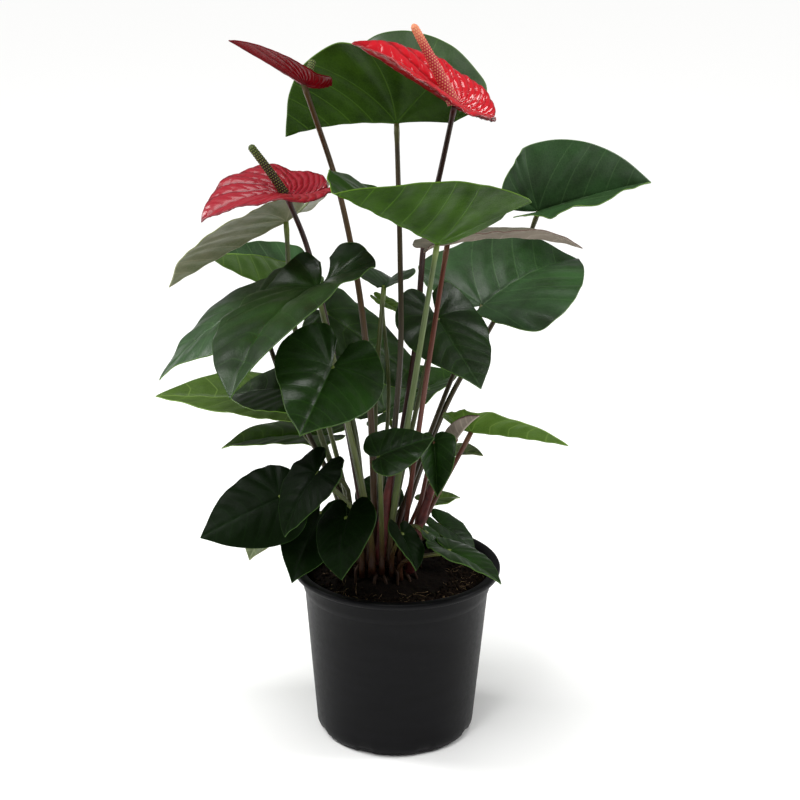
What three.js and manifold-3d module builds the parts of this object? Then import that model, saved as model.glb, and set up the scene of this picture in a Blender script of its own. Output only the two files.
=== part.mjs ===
// A potted anthurium: a black nursery pot of soil, and a plant of heart-shaped leaves and red flowers
// that grow from one crown.
//
// Millimetres, +Z up. The origin is the centre of the pot's base, -Y is the front and +X the right.
// Angles are in degrees. A heading is measured from +X towards +Y, so -90 points to the front.

import * as THREE from "three";
import { mergeVertices } from "three/addons/utils/BufferGeometryUtils.js";
import Module from "manifold-3d";

const wasm = await Module();
wasm.setup();

// The pot
const POT_HEIGHT = 145;
const RIM_RADIUS = 85;
const LIP_HEIGHT = 5;
const COLLAR_RADIUS = 77.5;
const SHOULDER_HEIGHT = 124;
const BODY_TOP_RADIUS = 75.3;
const BASE_RADIUS = 64.5;
const BASE_CORNER = 7;
const POT_WALL = 1.6;
const POT_FLOOR = 2.4;
const POT_SIDES = 48;
const DRAIN_HOLES = 8;
const DRAIN_RADIUS = 3.5;
const DRAIN_CIRCLE_RADIUS = 50;
const DRAIN_SIDES = 12;

// The soil and the crown of the plant
const SOIL_TOP = 132;
const SOIL_BUMP = 2;
const SOIL_DISH = 9;
const SOIL_MOUND = 22;
const CROWN = { x: -14, y: 0, radius: 31, height: 20, sides: 20, steps: 4 };
const GAP = 0.35;

// Leaves, flowers and stalks
const BLADE_THICKNESS = 0.9;
const SPATHE_THICKNESS = 1.1;
const STALK_SIDES = 6;
const STALK_SEGMENT = 38;
const STALK_TIP_RADIUS = 1.9;
const STALK_STRAIGHT_FOOT = 18;
const STEEPEST_CUT = 0.5;
const SPADIX_SIDES = 10;
const SPADIX_SEGMENTS = 4;
const SHEATH_SIDES = 8;
const SHEATH_SEGMENTS = 5;
const SHEATH_TIP_RADIUS = 0.8;

const COLOURS = {
  pot: { color: 0x232325, roughness: 0.45 },
  soil: { color: 0x241b14, roughness: 1.0 },
  crown: { color: 0x4a3524, roughness: 0.9 },
  leaf: { color: 0x27421f, roughness: 0.4 },
  youngLeaf: { color: 0x6f7f5c, roughness: 0.5 },
  stalk: { color: 0x464f28, roughness: 0.5 },
  peduncle: { color: 0x4a2a1e, roughness: 0.45 },
  sheath: { color: 0x6a2430, roughness: 0.55 },
  spathe: { color: 0xc01828, roughness: 0.2 },
  spadix: { color: 0xd8705c, roughness: 0.55 },
  oldSpadix: { color: 0x39451c, roughness: 0.55 },
};

// What a leaf is unless its entry says otherwise.
const LEAF = {
  roll: 0,
  fold: [15, 15],
  curl: 20,
  droop: 20,
  lift: 10,
  lobe: 0.36,
  via: [],
  stalkRadius: 2.6,
  finish: "leaf",
};

// Each leaf: at is where its stalk meets the blade, heading and pitch are where the midrib sets off from
// there, roll raises its left half, length runs from at to the tip and width is the flat blade's. fold is
// how far the left and right halves rise from the midrib, curl how far they turn down towards their edges,
// droop how far the midrib bends down and lift how far the back lobes bend up. The stalk leaves the crown
// at foot and passes through the via points.
const LEAVES = [
  {
    name: "leaf_01", at: [-4, 8, 507], heading: 150, pitch: -2, length: 105, width: 155,
    fold: [68, 68], lift: -15, lobe: 0.6,
    foot: [-10, -8], via: [[1, -32, 335], [0, -22, 405]],
  },
  {
    name: "leaf_02", at: [27, -90, 437], heading: 235, pitch: 26, length: 140, width: 165,
    fold: [35, 25], curl: 5, droop: 0, lift: 50, lobe: 0.3,
    foot: [-6, -16], via: [[14, -60, 335]], stalkRadius: 3,
  },
  {
    name: "leaf_03", at: [117, 150, 406], heading: 15, pitch: 15, roll: 45, length: 108, width: 115,
    fold: [45, 60], curl: 10, droop: 15, lift: 35,
    foot: [4, 16], via: [[40, 90, 250], [90, 140, 330]],
  },
  {
    name: "leaf_04", at: [36, -20, 419], heading: 15, pitch: 10, length: 112, width: 90,
    fold: [10, 30], droop: 30, lift: -10, lobe: 0.2, finish: "youngLeaf",
    foot: [6, -8], via: [[22, -46, 325]], stalkRadius: 2.2,
  },
  {
    name: "leaf_05", at: [68, 68, 346], heading: 42, pitch: 25, length: 115, width: 150,
    fold: [35, 15], curl: 35, droop: 30, lift: 30, lobe: 0.25,
    foot: [0, 8], via: [[34, 54, 260]], stalkRadius: 2.2,
  },
  {
    name: "leaf_06", at: [30, 5, 353], heading: -50, pitch: -40, length: 70, width: 85,
    fold: [10, 10], curl: 25, droop: 0, lift: 30, lobe: 0.4,
    foot: [-4, 16], via: [[14, 18, 270]], stalkRadius: 2.2,
  },
  {
    name: "leaf_07", at: [-13, 50, 366], heading: 80, pitch: 5, length: 40, width: 56,
    fold: [35, 35],
    foot: [-18, 0], via: [[-18, 0, 298]], stalkRadius: 2,
  },
  {
    name: "leaf_08", at: [-62, -80, 400], heading: 238, pitch: 1, roll: 20, length: 145, width: 115,
    curl: 25, droop: 45, lift: 95, lobe: 0.28,
    foot: [-22, -16], via: [[-46, -82, 330]], stalkRadius: 2.8,
  },
  {
    name: "leaf_09", at: [-111, -35, 377], heading: 195, pitch: -25, length: 97, width: 105,
    fold: [5, 5], droop: 25,
    foot: [-34, 0], via: [[-92, 9, 295]], stalkRadius: 2.2,
  },
  {
    name: "leaf_10", at: [-89, 0, 431], heading: 165, pitch: -30, roll: 10, length: 115, width: 120,
    fold: [20, 20], droop: 0, lift: 30, lobe: 0.4, finish: "youngLeaf",
    foot: [-32, 8], via: [[-62, 8, 250], [-84, 6, 350]],
  },
  {
    name: "leaf_11", at: [-84, 90, 347], heading: 190, pitch: 15, length: 88, width: 105,
    fold: [50, 45], droop: -20, lobe: 0.2,
    foot: [-28, 16], via: [[-40, 72, 250]],
  },
  {
    name: "leaf_12", at: [-49, -120, 351], heading: -105, pitch: -20, roll: -20, length: 82, width: 84,
    fold: [10, 20], droop: 0, lift: 25, lobe: 0.4,
    foot: [-20, -24], via: [[-34, -92, 280]],
  },
  {
    name: "leaf_13", at: [-60, 45, 345], heading: 0, pitch: -35, roll: 25, length: 108, width: 90,
    fold: [0, 0], droop: 5, lobe: 0.12,
    foot: [-24, 8], via: [[-44, 40, 280]],
  },
  {
    name: "leaf_14", at: [-87, 70, 261], heading: 175, pitch: 0, length: 118, width: 100,
    fold: [10, 20], droop: 0, lobe: 0.25,
    foot: [-40, 8], via: [[-64, 16, 232], [-82, 48, 246]], stalkRadius: 2.2,
  },
  {
    name: "leaf_15", at: [-62, -50, 311], heading: 155, pitch: -5, roll: -15, length: 85, width: 90,
    lobe: 0.3,
    foot: [-34, -8], via: [[-46, -14, 230]], stalkRadius: 2.2,
  },
  {
    name: "leaf_16", at: [-64, 70, 230], heading: 175, pitch: 0, length: 88, width: 75,
    lobe: 0.25, finish: "youngLeaf",
    foot: [-36, 16], stalkRadius: 2,
  },
  {
    name: "leaf_17", at: [-92, -60, 224], heading: 195, pitch: -20, roll: -45, length: 70, width: 70,
    lobe: 0.25, fold: [0, 0], curl: 30,
    foot: [-38, -16], via: [[-42, -22, 222], [-64, -38, 234]], stalkRadius: 2,
  },
  {
    name: "leaf_18", at: [-62, -80, 253], heading: -145, pitch: -40, length: 56, width: 60,
    fold: [10, 10], droop: 35, lift: 0,
    foot: [-30, -16], via: [[-32, -46, 205]], stalkRadius: 2,
  },
  {
    name: "leaf_19", at: [-62, -30, 200], heading: -105, pitch: -20, roll: -15, length: 72, width: 58,
    lobe: 0.25,
    foot: [-42, -8], stalkRadius: 2,
  },
  {
    name: "leaf_20", at: [-39, -90, 220], heading: -105, pitch: -35, roll: 20, length: 50, width: 54,
    fold: [5, 5], droop: 35, lift: 0,
    foot: [-28, -24], stalkRadius: 1.8,
  },
  {
    name: "leaf_21", at: [-100, -20, 190], heading: 235, pitch: -30, length: 40, width: 40,
    finish: "youngLeaf",
    foot: [-42, 0], stalkRadius: 1.6,
  },
  {
    name: "leaf_22", at: [-14, -90, 271], heading: 15, pitch: 20, roll: 35, length: 46, width: 42,
    fold: [10, 10], lobe: 0.2,
    foot: [-12, -24], stalkRadius: 2,
  },
  {
    name: "leaf_23", at: [28, -30, 262], heading: -80, pitch: -55, length: 45, width: 40,
    fold: [50, 50], lobe: 0.15,
    foot: [13, -9], stalkRadius: 1.8,
  },
  {
    name: "leaf_24", at: [59, 10, 256], heading: -15, pitch: 0, length: 80, width: 66,
    fold: [0, 60], droop: 5, lift: 30, lobe: 0.35,
    foot: [15, -2], stalkRadius: 2,
  },
  {
    name: "leaf_25", at: [46, -25, 262], heading: -25, pitch: 60, length: 30, width: 22,
    fold: [60, 60], curl: -40, lobe: 0.2, finish: "youngLeaf",
    foot: [8, 8], stalkRadius: 1.4,
  },
  {
    name: "leaf_26", at: [36, 30, 230], heading: -20, pitch: 15, length: 36, width: 40,
    finish: "youngLeaf",
    foot: [9, 18], stalkRadius: 1.6,
  },
  {
    name: "leaf_27", at: [27, 30, 188], heading: 30, pitch: 5, length: 30, width: 32,
    foot: [15, 5], stalkRadius: 1.6,
  },
  {
    name: "leaf_28", at: [42, -60, 181], heading: -30, pitch: -10, roll: -10, length: 50, width: 48,
    foot: [3, -24], stalkRadius: 1.8,
  },
  {
    name: "leaf_29", at: [36, 20, 171], heading: -20, pitch: -25, length: 38, width: 42,
    foot: [12, 12], stalkRadius: 1.6,
  },
  {
    name: "leaf_30", at: [24, -44, 189], heading: -15, pitch: -35, length: 18, width: 22,
    foot: [2, -16], via: [[12, -30, 190]], stalkRadius: 1.4,
  },
  {
    name: "leaf_31", at: [4, -60, 195], heading: -60, pitch: -30, roll: -25, length: 34, width: 36,
    foot: [-4, -24], stalkRadius: 1.6,
  },
  {
    name: "leaf_32", at: [-15, 42, 182], heading: 95, pitch: 30, length: 36, width: 42,
    foot: [-14, 24], stalkRadius: 2,
  },
  {
    name: "leaf_33", at: [-11, 90, 245], heading: 40, pitch: 20, length: 88, width: 90,
    fold: [30, 30],
    foot: [-4, 24], via: [[12, 50, 200]], stalkRadius: 2,
  },
  {
    name: "leaf_34", at: [-15, 64, 350], heading: -20, pitch: -20, length: 24, width: 22,
    lobe: 0.4, finish: "youngLeaf",
    foot: [-16, 8], via: [[-8, 0, 290]], stalkRadius: 1.6,
  },
];

// Leaves whose stalk is a node of its own.
const LARGE_LEAF = 94;

// Each flower: the spathe is laid out like a leaf's blade; the spadix runs from the blade to tip.
const FLOWERS = [
  {
    name: "1", at: [38, -85, 538], heading: 180, pitch: 33, length: 86, width: 76,
    fold: [20, 40], curl: 25, droop: 0, lift: 20, lobe: 0.36,
    spadixTip: [7, -87, 596], spadixRadius: [4.6, 2.6], spadixFinish: "spadix",
    foot: [-8, 8], via: [[13, 32, 320], [19, 32, 410], [29, -26, 474]], stalkRadius: 3,
  },
  {
    name: "2", at: [-71, -70, 550], heading: 180, pitch: 30, roll: 18, length: 62, width: 46,
    fold: [30, 15], droop: 0, lift: 60, lobe: 0.36,
    spadixTip: [-65, -58, 565], spadixRadius: [3.2, 2.4], spadixFinish: "oldSpadix",
    foot: [-18, -8], via: [[-27, -32, 352], [-45, -18, 450]], stalkRadius: 3,
  },
  {
    name: "3", at: [-84, -70, 467], heading: 195, pitch: 8, length: 68, width: 88,
    fold: [15, 25], curl: 15, droop: 45, lift: 30, lobe: 0.5,
    spadixTip: [-111, -68, 504], spadixRadius: [3.3, 2.7], spadixFinish: "oldSpadix",
    foot: [-26, -8], via: [[-50, 2, 310], [-70, -20, 410]], stalkRadius: 2.8,
  },
];

// Papery sheaths that stand round the stalks' feet.
const SHEATHS = [
  { name: "sheath_1", foot: [-14, -16], top: [-3, -26, 242], radius: 4 },
  { name: "sheath_2", foot: [10, -16], top: [36, -36, 250], radius: 3.4 },
  { name: "sheath_3", foot: [-26, 0], top: [-34, -2, 190], radius: 2.6 },
];

const radians = THREE.MathUtils.degToRad;

function makeMesh(name, geometry, finish) {
  const mesh = new THREE.Mesh(geometry, new THREE.MeshStandardMaterial(COLOURS[finish]));
  mesh.name = name;
  return mesh;
}

function geometryOf(points, triangles) {
  const geometry = new THREE.BufferGeometry();
  geometry.setAttribute("position", new THREE.Float32BufferAttribute(points.flatMap((p) => p.toArray()), 3));
  geometry.setIndex(triangles.flat());
  return geometry;
}

function solidOf(geometry) {
  const bare = geometry.clone();
  bare.deleteAttribute("normal");
  bare.deleteAttribute("uv");
  const merged = mergeVertices(bare, 1e-4);
  return new wasm.Manifold(
    new wasm.Mesh({
      numProp: 3,
      vertProperties: merged.getAttribute("position").array,
      triVerts: new Uint32Array(merged.index.array),
    }),
  );
}

function geometryOfSolid(solid) {
  const mesh = solid.getMesh();
  const geometry = new THREE.BufferGeometry();
  geometry.setAttribute("position", new THREE.BufferAttribute(mesh.vertProperties, 3));
  geometry.setIndex(new THREE.BufferAttribute(mesh.triVerts, 1));
  return geometry;
}

// Half of a heart-shaped blade's outline, from the notch at the stalk, round the back lobe, to the tip:
// x in units of the length (of the lobe, where negative), y in units of half the width.
const OUTLINE = [
  [-0.75, 0.12],
  [-1.0, 0.36],
  [-0.94, 0.55],
  [-0.72, 0.7],
  [-0.38, 0.87],
  [0.02, 0.98],
  [0.25, 0.96],
  [0.5, 0.79],
  [0.75, 0.47],
  [0.9, 0.19],
  [1, 0],
];

// A spathe's lobes are rounder and close up behind its stalk.
const SPATHE_LOBE = [
  [-0.94, 0.03],
  [-1.0, 0.22],
  [-0.96, 0.45],
  [-0.78, 0.68],
];
const SPATHE_OUTLINE = [...SPATHE_LOBE, ...OUTLINE.slice(SPATHE_LOBE.length)];

// A point of the flat blade, bent along its midrib and across it. side is 1 on the left half, -1 on the right.
function bend(blade, x, y, side) {
  const reach = blade.length * (x >= 0 ? 1 : blade.lobe);
  const along = radians(x >= 0 ? blade.droop : blade.lift) / reach;
  const curvature = x >= 0 ? -along : along;
  const turn = curvature * x;
  const straight = Math.abs(curvature) < 1e-6;
  const midX = straight ? x : Math.sin(turn) / curvature;
  const midZ = straight ? 0 : (1 - Math.cos(turn)) / curvature;
  const fold = radians(blade.fold[side > 0 ? 0 : 1]);
  const across = radians(blade.curl) / (blade.width / 2);
  const flat = Math.abs(across) < 1e-6;
  const edge = fold - across * y;
  const outY = flat ? y * Math.cos(fold) : (Math.sin(fold) - Math.sin(edge)) / across;
  const outZ = flat ? y * Math.sin(fold) : (Math.cos(edge) - Math.cos(fold)) / across;
  return new THREE.Vector3(midX - Math.sin(turn) * outZ, side * outY, midZ + Math.cos(turn) * outZ);
}

// The axes of a blade: along its midrib, to its left, and up from its upper face.
function bladeAxes(blade) {
  const heading = radians(blade.heading);
  const pitch = radians(blade.pitch);
  const forward = new THREE.Vector3(
    Math.cos(heading) * Math.cos(pitch),
    Math.sin(heading) * Math.cos(pitch),
    Math.sin(pitch),
  );
  const left = new THREE.Vector3(-Math.sin(heading), Math.cos(heading), 0);
  left.applyAxisAngle(forward, radians(blade.roll));
  const up = new THREE.Vector3().crossVectors(forward, left);
  return new THREE.Matrix4().makeBasis(forward, left, up).setPosition(...blade.at);
}

// A blade as a closed sheet: rings of points about the attachment, out to the edge, doubled by the thickness.
function bladeGeometry(blade, thickness, outline = OUTLINE) {
  const rings = blade.length > LARGE_LEAF ? [0.38, 0.7, 1] : [0.55, 1];
  const rim = [];
  outline.forEach(([x, y]) => rim.push({ x, y, side: 1 }));
  outline
    .slice(0, -1)
    .reverse()
    .forEach(([x, y]) => rim.push({ x, y, side: -1 }));
  const n = rim.length;
  const middle = [new THREE.Vector3(0, 0, 0)];
  rings.forEach((r) =>
    rim.forEach(({ x, y, side }) => {
      const flatX = r * x * blade.length * (x < 0 ? blade.lobe : 1);
      middle.push(bend(blade, flatX, (r * y * blade.width) / 2, side));
    }),
  );
  const at = (ring, i) => (ring < 0 ? 0 : 1 + ring * n + i);
  const upper = [];
  for (let i = 0; i + 1 < n; i++) {
    upper.push([0, at(0, i + 1), at(0, i)]);
    for (let k = 0; k + 1 < rings.length; k++) {
      upper.push([at(k, i), at(k + 1, i + 1), at(k + 1, i)]);
      upper.push([at(k, i), at(k, i + 1), at(k + 1, i + 1)]);
    }
  }
  const sheet = geometryOf(middle, upper);
  sheet.computeVertexNormals();
  const normals = sheet.getAttribute("normal");
  const points = [1, -1].flatMap((way) =>
    middle.map((p, i) =>
      p.clone().addScaledVector(new THREE.Vector3().fromBufferAttribute(normals, i), (way * thickness) / 2),
    ),
  );
  const low = middle.length;
  const lower = upper.map(([a, b, c]) => [a + low, c + low, b + low]);
  const border = [0];
  for (let k = 0; k < rings.length; k++) border.push(at(k, 0));
  for (let i = 1; i < n; i++) border.push(at(rings.length - 1, i));
  for (let k = rings.length - 2; k >= 0; k--) border.push(at(k, n - 1));
  const sides = border.flatMap((a, i) => {
    const b = border[(i + 1) % border.length];
    return [
      [a, b, b + low],
      [a, b + low, a + low],
    ];
  });
  return geometryOf(points, [...upper, ...lower, ...sides]).applyMatrix4(bladeAxes(blade));
}

// A round stalk that tapers along a curve, closed at both ends. The end is cut by the plane through
// endPoint across endNormal, so that it meets the underside of a blade.
function stalkGeometry(points, radii, segments, sides, endNormal) {
  const curve = new THREE.CatmullRomCurve3(points.map((p) => new THREE.Vector3(...p)), false, "centripetal");
  const frames = curve.computeFrenetFrames(segments, false);
  const rings = [];
  for (let k = 0; k <= segments; k++) {
    const t = k / segments;
    const centre = curve.getPointAt(t);
    const radius = THREE.MathUtils.lerp(radii[0], radii[1], t);
    for (let i = 0; i < sides; i++) {
      const turn = (2 * Math.PI * i) / sides;
      const p = centre
        .clone()
        .addScaledVector(frames.normals[k], radius * Math.cos(turn))
        .addScaledVector(frames.binormals[k], radius * Math.sin(turn));
      if (k === segments && endNormal) {
        const direction = frames.tangents[k];
        const slope = direction.dot(endNormal);
        const limited = Math.sign(slope) * Math.max(STEEPEST_CUT, Math.abs(slope));
        p.addScaledVector(direction, centre.clone().sub(p).dot(endNormal) / limited);
      }
      rings.push(p);
    }
  }
  const start = rings.push(curve.getPointAt(0)) - 1;
  const end = rings.push(curve.getPointAt(1)) - 1;
  const triangles = [];
  for (let i = 0; i < sides; i++) {
    const j = (i + 1) % sides;
    for (let k = 0; k < segments; k++) {
      const [a, b, c, d] = [k * sides + i, k * sides + j, (k + 1) * sides + j, (k + 1) * sides + i];
      triangles.push([a, b, c], [a, c, d]);
    }
    triangles.push([start, j, i], [end, segments * sides + i, segments * sides + j]);
  }
  return geometryOf(rings, triangles);
}

// Height at which a round foot just clears the crown's domed top.
function footHeight(x, y, radius) {
  const nearest = Math.max(0, Math.hypot(x - CROWN.x, y - CROWN.y) - radius) / CROWN.radius;
  const dome = CROWN.height * Math.sqrt(Math.max(0, 1 - nearest * nearest));
  return SOIL_TOP + SOIL_BUMP + 2 * GAP + dome;
}

function stalkOf(plant, gap) {
  const axes = bladeAxes(plant);
  const up = new THREE.Vector3().setFromMatrixColumn(axes, 2);
  const end = new THREE.Vector3(...plant.at).addScaledVector(up, -gap);
  const [x, y] = plant.foot;
  const z = footHeight(x, y, plant.stalkRadius);
  const rise = Math.min((plant.at[2] - z) / 4, STALK_STRAIGHT_FOOT);
  const points = [[x, y, z], [x, y, z + rise], ...plant.via, end.toArray()];
  const length = Math.hypot(plant.at[0] - x, plant.at[1] - y, plant.at[2] - z);
  const segments = Math.max(4, Math.round(length / STALK_SEGMENT));
  const tip = Math.min(STALK_TIP_RADIUS, plant.stalkRadius);
  return stalkGeometry(points, [plant.stalkRadius, tip], segments, STALK_SIDES, up);
}

function makeLeaf(entry) {
  const leaf = { ...LEAF, ...entry };
  const blade = bladeGeometry(leaf, BLADE_THICKNESS);
  if (leaf.length > LARGE_LEAF) {
    const gap = BLADE_THICKNESS / 2 + GAP;
    return [
      makeMesh(leaf.name + "_blade", blade, leaf.finish),
      makeMesh(leaf.name + "_stalk", stalkOf(leaf, gap), "stalk"),
    ];
  }
  const joined = solidOf(blade).add(solidOf(stalkOf(leaf, 0)));
  return [makeMesh(leaf.name, geometryOfSolid(joined), leaf.finish)];
}

function makeFlower(entry) {
  const flower = { ...LEAF, ...entry };
  const up = new THREE.Vector3().setFromMatrixColumn(bladeAxes(flower), 2);
  const tip = new THREE.Vector3(...flower.spadixTip);
  const base = new THREE.Vector3(...flower.at);
  const direction = tip.clone().sub(base).normalize();
  const lean = direction.angleTo(up);
  const clearance = SPATHE_THICKNESS / 2 + GAP + flower.spadixRadius[0] * (0.3 + Math.sin(lean));
  base.addScaledVector(direction, clearance / Math.cos(lean));
  const ends = [base.toArray(), flower.spadixTip];
  const spadix = stalkGeometry(ends, flower.spadixRadius, SPADIX_SEGMENTS, SPADIX_SIDES);
  return [
    makeMesh("spathe_" + flower.name, bladeGeometry(flower, SPATHE_THICKNESS, SPATHE_OUTLINE), "spathe"),
    makeMesh("spadix_" + flower.name, spadix, flower.spadixFinish),
    makeMesh("flower_stalk_" + flower.name, stalkOf(flower, SPATHE_THICKNESS / 2 + GAP), "peduncle"),
  ];
}

function makeSheath(sheath) {
  const [x, y] = sheath.foot;
  const z = footHeight(x, y, sheath.radius);
  const middle = [(x + sheath.top[0]) / 2 - 1, (y + sheath.top[1]) / 2, z + 0.55 * (sheath.top[2] - z)];
  const radii = [sheath.radius, SHEATH_TIP_RADIUS];
  const geometry = stalkGeometry([[x, y, z], middle, sheath.top], radii, SHEATH_SEGMENTS, SHEATH_SIDES);
  return makeMesh(sheath.name, geometry, "sheath");
}

function lathe(profile) {
  const points = profile.map(([r, z]) => new THREE.Vector2(r, z));
  return new THREE.LatheGeometry(points, POT_SIDES).rotateX(Math.PI / 2);
}

// The outside of the pot's wall at a height.
function bodyRadius(z) {
  return THREE.MathUtils.lerp(BASE_RADIUS, BODY_TOP_RADIUS, Math.min(z / SHOULDER_HEIGHT, 1));
}

function makePot() {
  const under = POT_HEIGHT - LIP_HEIGHT;
  const half = BASE_CORNER * (1 - Math.SQRT1_2);
  const profile = [
    [0, 0],
    [BASE_RADIUS - BASE_CORNER, 0],
    [BASE_RADIUS - half, half],
    [bodyRadius(BASE_CORNER), BASE_CORNER],
    [BODY_TOP_RADIUS, SHOULDER_HEIGHT],
    [COLLAR_RADIUS - 0.8, SHOULDER_HEIGHT + 3],
    [COLLAR_RADIUS, under - 1],
    [RIM_RADIUS - 0.8, under],
    [RIM_RADIUS, under + 1],
    [RIM_RADIUS, POT_HEIGHT - 1],
    [RIM_RADIUS - 1, POT_HEIGHT],
    [COLLAR_RADIUS + 1, POT_HEIGHT],
    [COLLAR_RADIUS - POT_WALL, POT_HEIGHT - 2],
    [COLLAR_RADIUS - POT_WALL - 0.6, SHOULDER_HEIGHT + 3],
    [BODY_TOP_RADIUS - POT_WALL, SHOULDER_HEIGHT],
    [bodyRadius(BASE_CORNER) - POT_WALL, BASE_CORNER],
    [BASE_RADIUS - BASE_CORNER, POT_FLOOR],
    [0, POT_FLOOR],
  ];
  let pot = solidOf(lathe(profile));
  for (let i = 0; i < DRAIN_HOLES; i++) {
    const turn = (2 * Math.PI * (i + 0.5)) / DRAIN_HOLES;
    const hole = new THREE.CylinderGeometry(DRAIN_RADIUS, DRAIN_RADIUS, 3 * POT_FLOOR, DRAIN_SIDES);
    hole.rotateX(Math.PI / 2);
    hole.translate(DRAIN_CIRCLE_RADIUS * Math.cos(turn), DRAIN_CIRCLE_RADIUS * Math.sin(turn), POT_FLOOR / 2);
    pot = pot.subtract(solidOf(hole));
  }
  return makeMesh("pot", geometryOfSolid(pot), "pot");
}

function makeSoil() {
  const inner = (z) => bodyRadius(z) - POT_WALL - GAP - 0.15;
  const profile = [
    [0, POT_FLOOR + GAP],
    [BASE_RADIUS - BASE_CORNER - 1, POT_FLOOR + GAP],
    [inner(BASE_CORNER) - 0.3, BASE_CORNER + 1],
    [inner(SHOULDER_HEIGHT), SHOULDER_HEIGHT],
    [inner(SOIL_TOP) - 0.2, SOIL_TOP - 3],
    [BODY_TOP_RADIUS - SOIL_DISH, SOIL_TOP],
    [CROWN.radius + SOIL_MOUND, SOIL_TOP + SOIL_BUMP - 1],
    [0, SOIL_TOP + SOIL_BUMP],
  ];
  return makeMesh("soil", lathe(profile), "soil");
}

function makeCrown() {
  const foot = SOIL_TOP + SOIL_BUMP + GAP;
  const profile = [[0, 0]];
  for (let k = 0; k < CROWN.steps; k++) {
    const turn = (Math.PI / 2) * (k / CROWN.steps);
    profile.push([CROWN.radius * Math.cos(turn), CROWN.height * Math.sin(turn)]);
  }
  profile.push([0, CROWN.height]);
  const points = profile.map(([r, z]) => new THREE.Vector2(r, z));
  const geometry = new THREE.LatheGeometry(points, CROWN.sides).rotateX(Math.PI / 2);
  const mesh = makeMesh("crown", geometry, "crown");
  mesh.position.set(CROWN.x, CROWN.y, foot);
  return mesh;
}

const plant = new THREE.Group();
plant.add(makeCrown());
SHEATHS.forEach((sheath) => plant.add(makeSheath(sheath)));
LEAVES.forEach((leaf) => plant.add(...makeLeaf(leaf)));
FLOWERS.forEach((flower) => plant.add(...makeFlower(flower)));

const anthurium = new THREE.Group();
anthurium.add(makePot(), makeSoil(), plant);

export default anthurium;
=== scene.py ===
"""A potted anthurium: the looks of its pot, soil, leaves and flowers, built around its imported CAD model.

Sizes in the classes are millimetres and angles are degrees, as on the maker's sheet. What reaches Blender is
metres. +Z is up, -Y is the front of the plant and +X is its right.
"""

from __future__ import annotations

import logging
import math
import random
from collections.abc import Callable
from dataclasses import dataclass, field
from enum import Enum
from functools import partial
from typing import NamedTuple

import bmesh
import bpy
from mathutils import Matrix, Vector, noise


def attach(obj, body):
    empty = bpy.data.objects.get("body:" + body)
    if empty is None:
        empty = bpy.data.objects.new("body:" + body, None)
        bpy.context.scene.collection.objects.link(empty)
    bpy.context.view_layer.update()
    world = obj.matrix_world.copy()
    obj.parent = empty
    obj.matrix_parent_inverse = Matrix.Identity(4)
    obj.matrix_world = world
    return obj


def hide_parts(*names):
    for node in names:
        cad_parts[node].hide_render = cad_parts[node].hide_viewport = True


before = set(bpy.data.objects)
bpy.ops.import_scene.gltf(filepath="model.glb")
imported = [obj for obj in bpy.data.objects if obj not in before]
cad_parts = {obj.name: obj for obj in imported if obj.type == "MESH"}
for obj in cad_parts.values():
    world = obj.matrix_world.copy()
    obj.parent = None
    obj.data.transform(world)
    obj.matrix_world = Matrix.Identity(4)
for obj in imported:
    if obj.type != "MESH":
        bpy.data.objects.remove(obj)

MM = 0.001
# How many millimetres one unit of the flat map stands for.
FLAT = 100
LOG = logging.getLogger("anthurium")


# ---------------------------------------- Colour and nodes ----------------------------------------


def linear(colour: str) -> tuple[float, float, float, float]:
    """Turns an sRGB hex colour into linear red, green, blue and alpha.

    Args:
        colour: the colour as "#rrggbb".

    Returns:
        Four numbers from 0 to 1.
    """
    channels = [int(colour[i : i + 2], 16) / 255 for i in (1, 3, 5)]
    red, green, blue = (c / 12.92 if c <= 0.04045 else ((c + 0.055) / 1.055) ** 2.4 for c in channels)
    return red, green, blue, 1.0


def add_node(
    tree: bpy.types.NodeTree,
    kind: str,
    inputs: dict[str | int, object] | None = None,
    out: str | int = 0,
    **settings: object,
) -> bpy.types.NodeSocket | None:
    """Adds a shader node, sets its properties, and sets or links its inputs.

    Args:
        tree: the material's node tree.
        kind: the node's type name, without "ShaderNode".
        inputs: for a socket's name or number, a value to set or an output socket to link.
        out: the name or number of the output that is wanted.
        settings: properties of the node itself.

    Returns:
        The socket of that output, or nothing from a node without outputs.
    """
    node = tree.nodes.new("ShaderNode" + kind)
    for name, value in settings.items():
        setattr(node, name, value)
    for socket, value in (inputs or {}).items():
        if isinstance(value, bpy.types.NodeSocket):
            tree.links.new(value, node.inputs[socket])
        else:
            node.inputs[socket].default_value = value
    return node.outputs[out] if node.outputs else None


# How nodes mix colours and ease between two values.
RGBA = {"out": 2, "data_type": "RGBA"}
EASED = {"interpolation_type": "SMOOTHSTEP"}


# ---------------------------------------- Finishes ----------------------------------------


@dataclass(frozen=True)
class Finish:
    """What all finishes share: a name, and one surface that their own nodes feed."""

    name: str

    def nodes(self, add: Callable) -> dict[str | int, object]:
        """Adds the finish's own nodes.

        Args:
            add: add_node, for the material's tree.

        Returns:
            The inputs of the surface.
        """
        raise NotImplementedError

    def material(self) -> bpy.types.Material:
        """Builds the finish's node material."""
        material = bpy.data.materials.new(self.name)
        material.use_nodes = True
        material.node_tree.nodes.clear()
        add = partial(add_node, material.node_tree)
        add("OutputMaterial", {0: add("BsdfPrincipled", self.nodes(add))})
        return material


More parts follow.
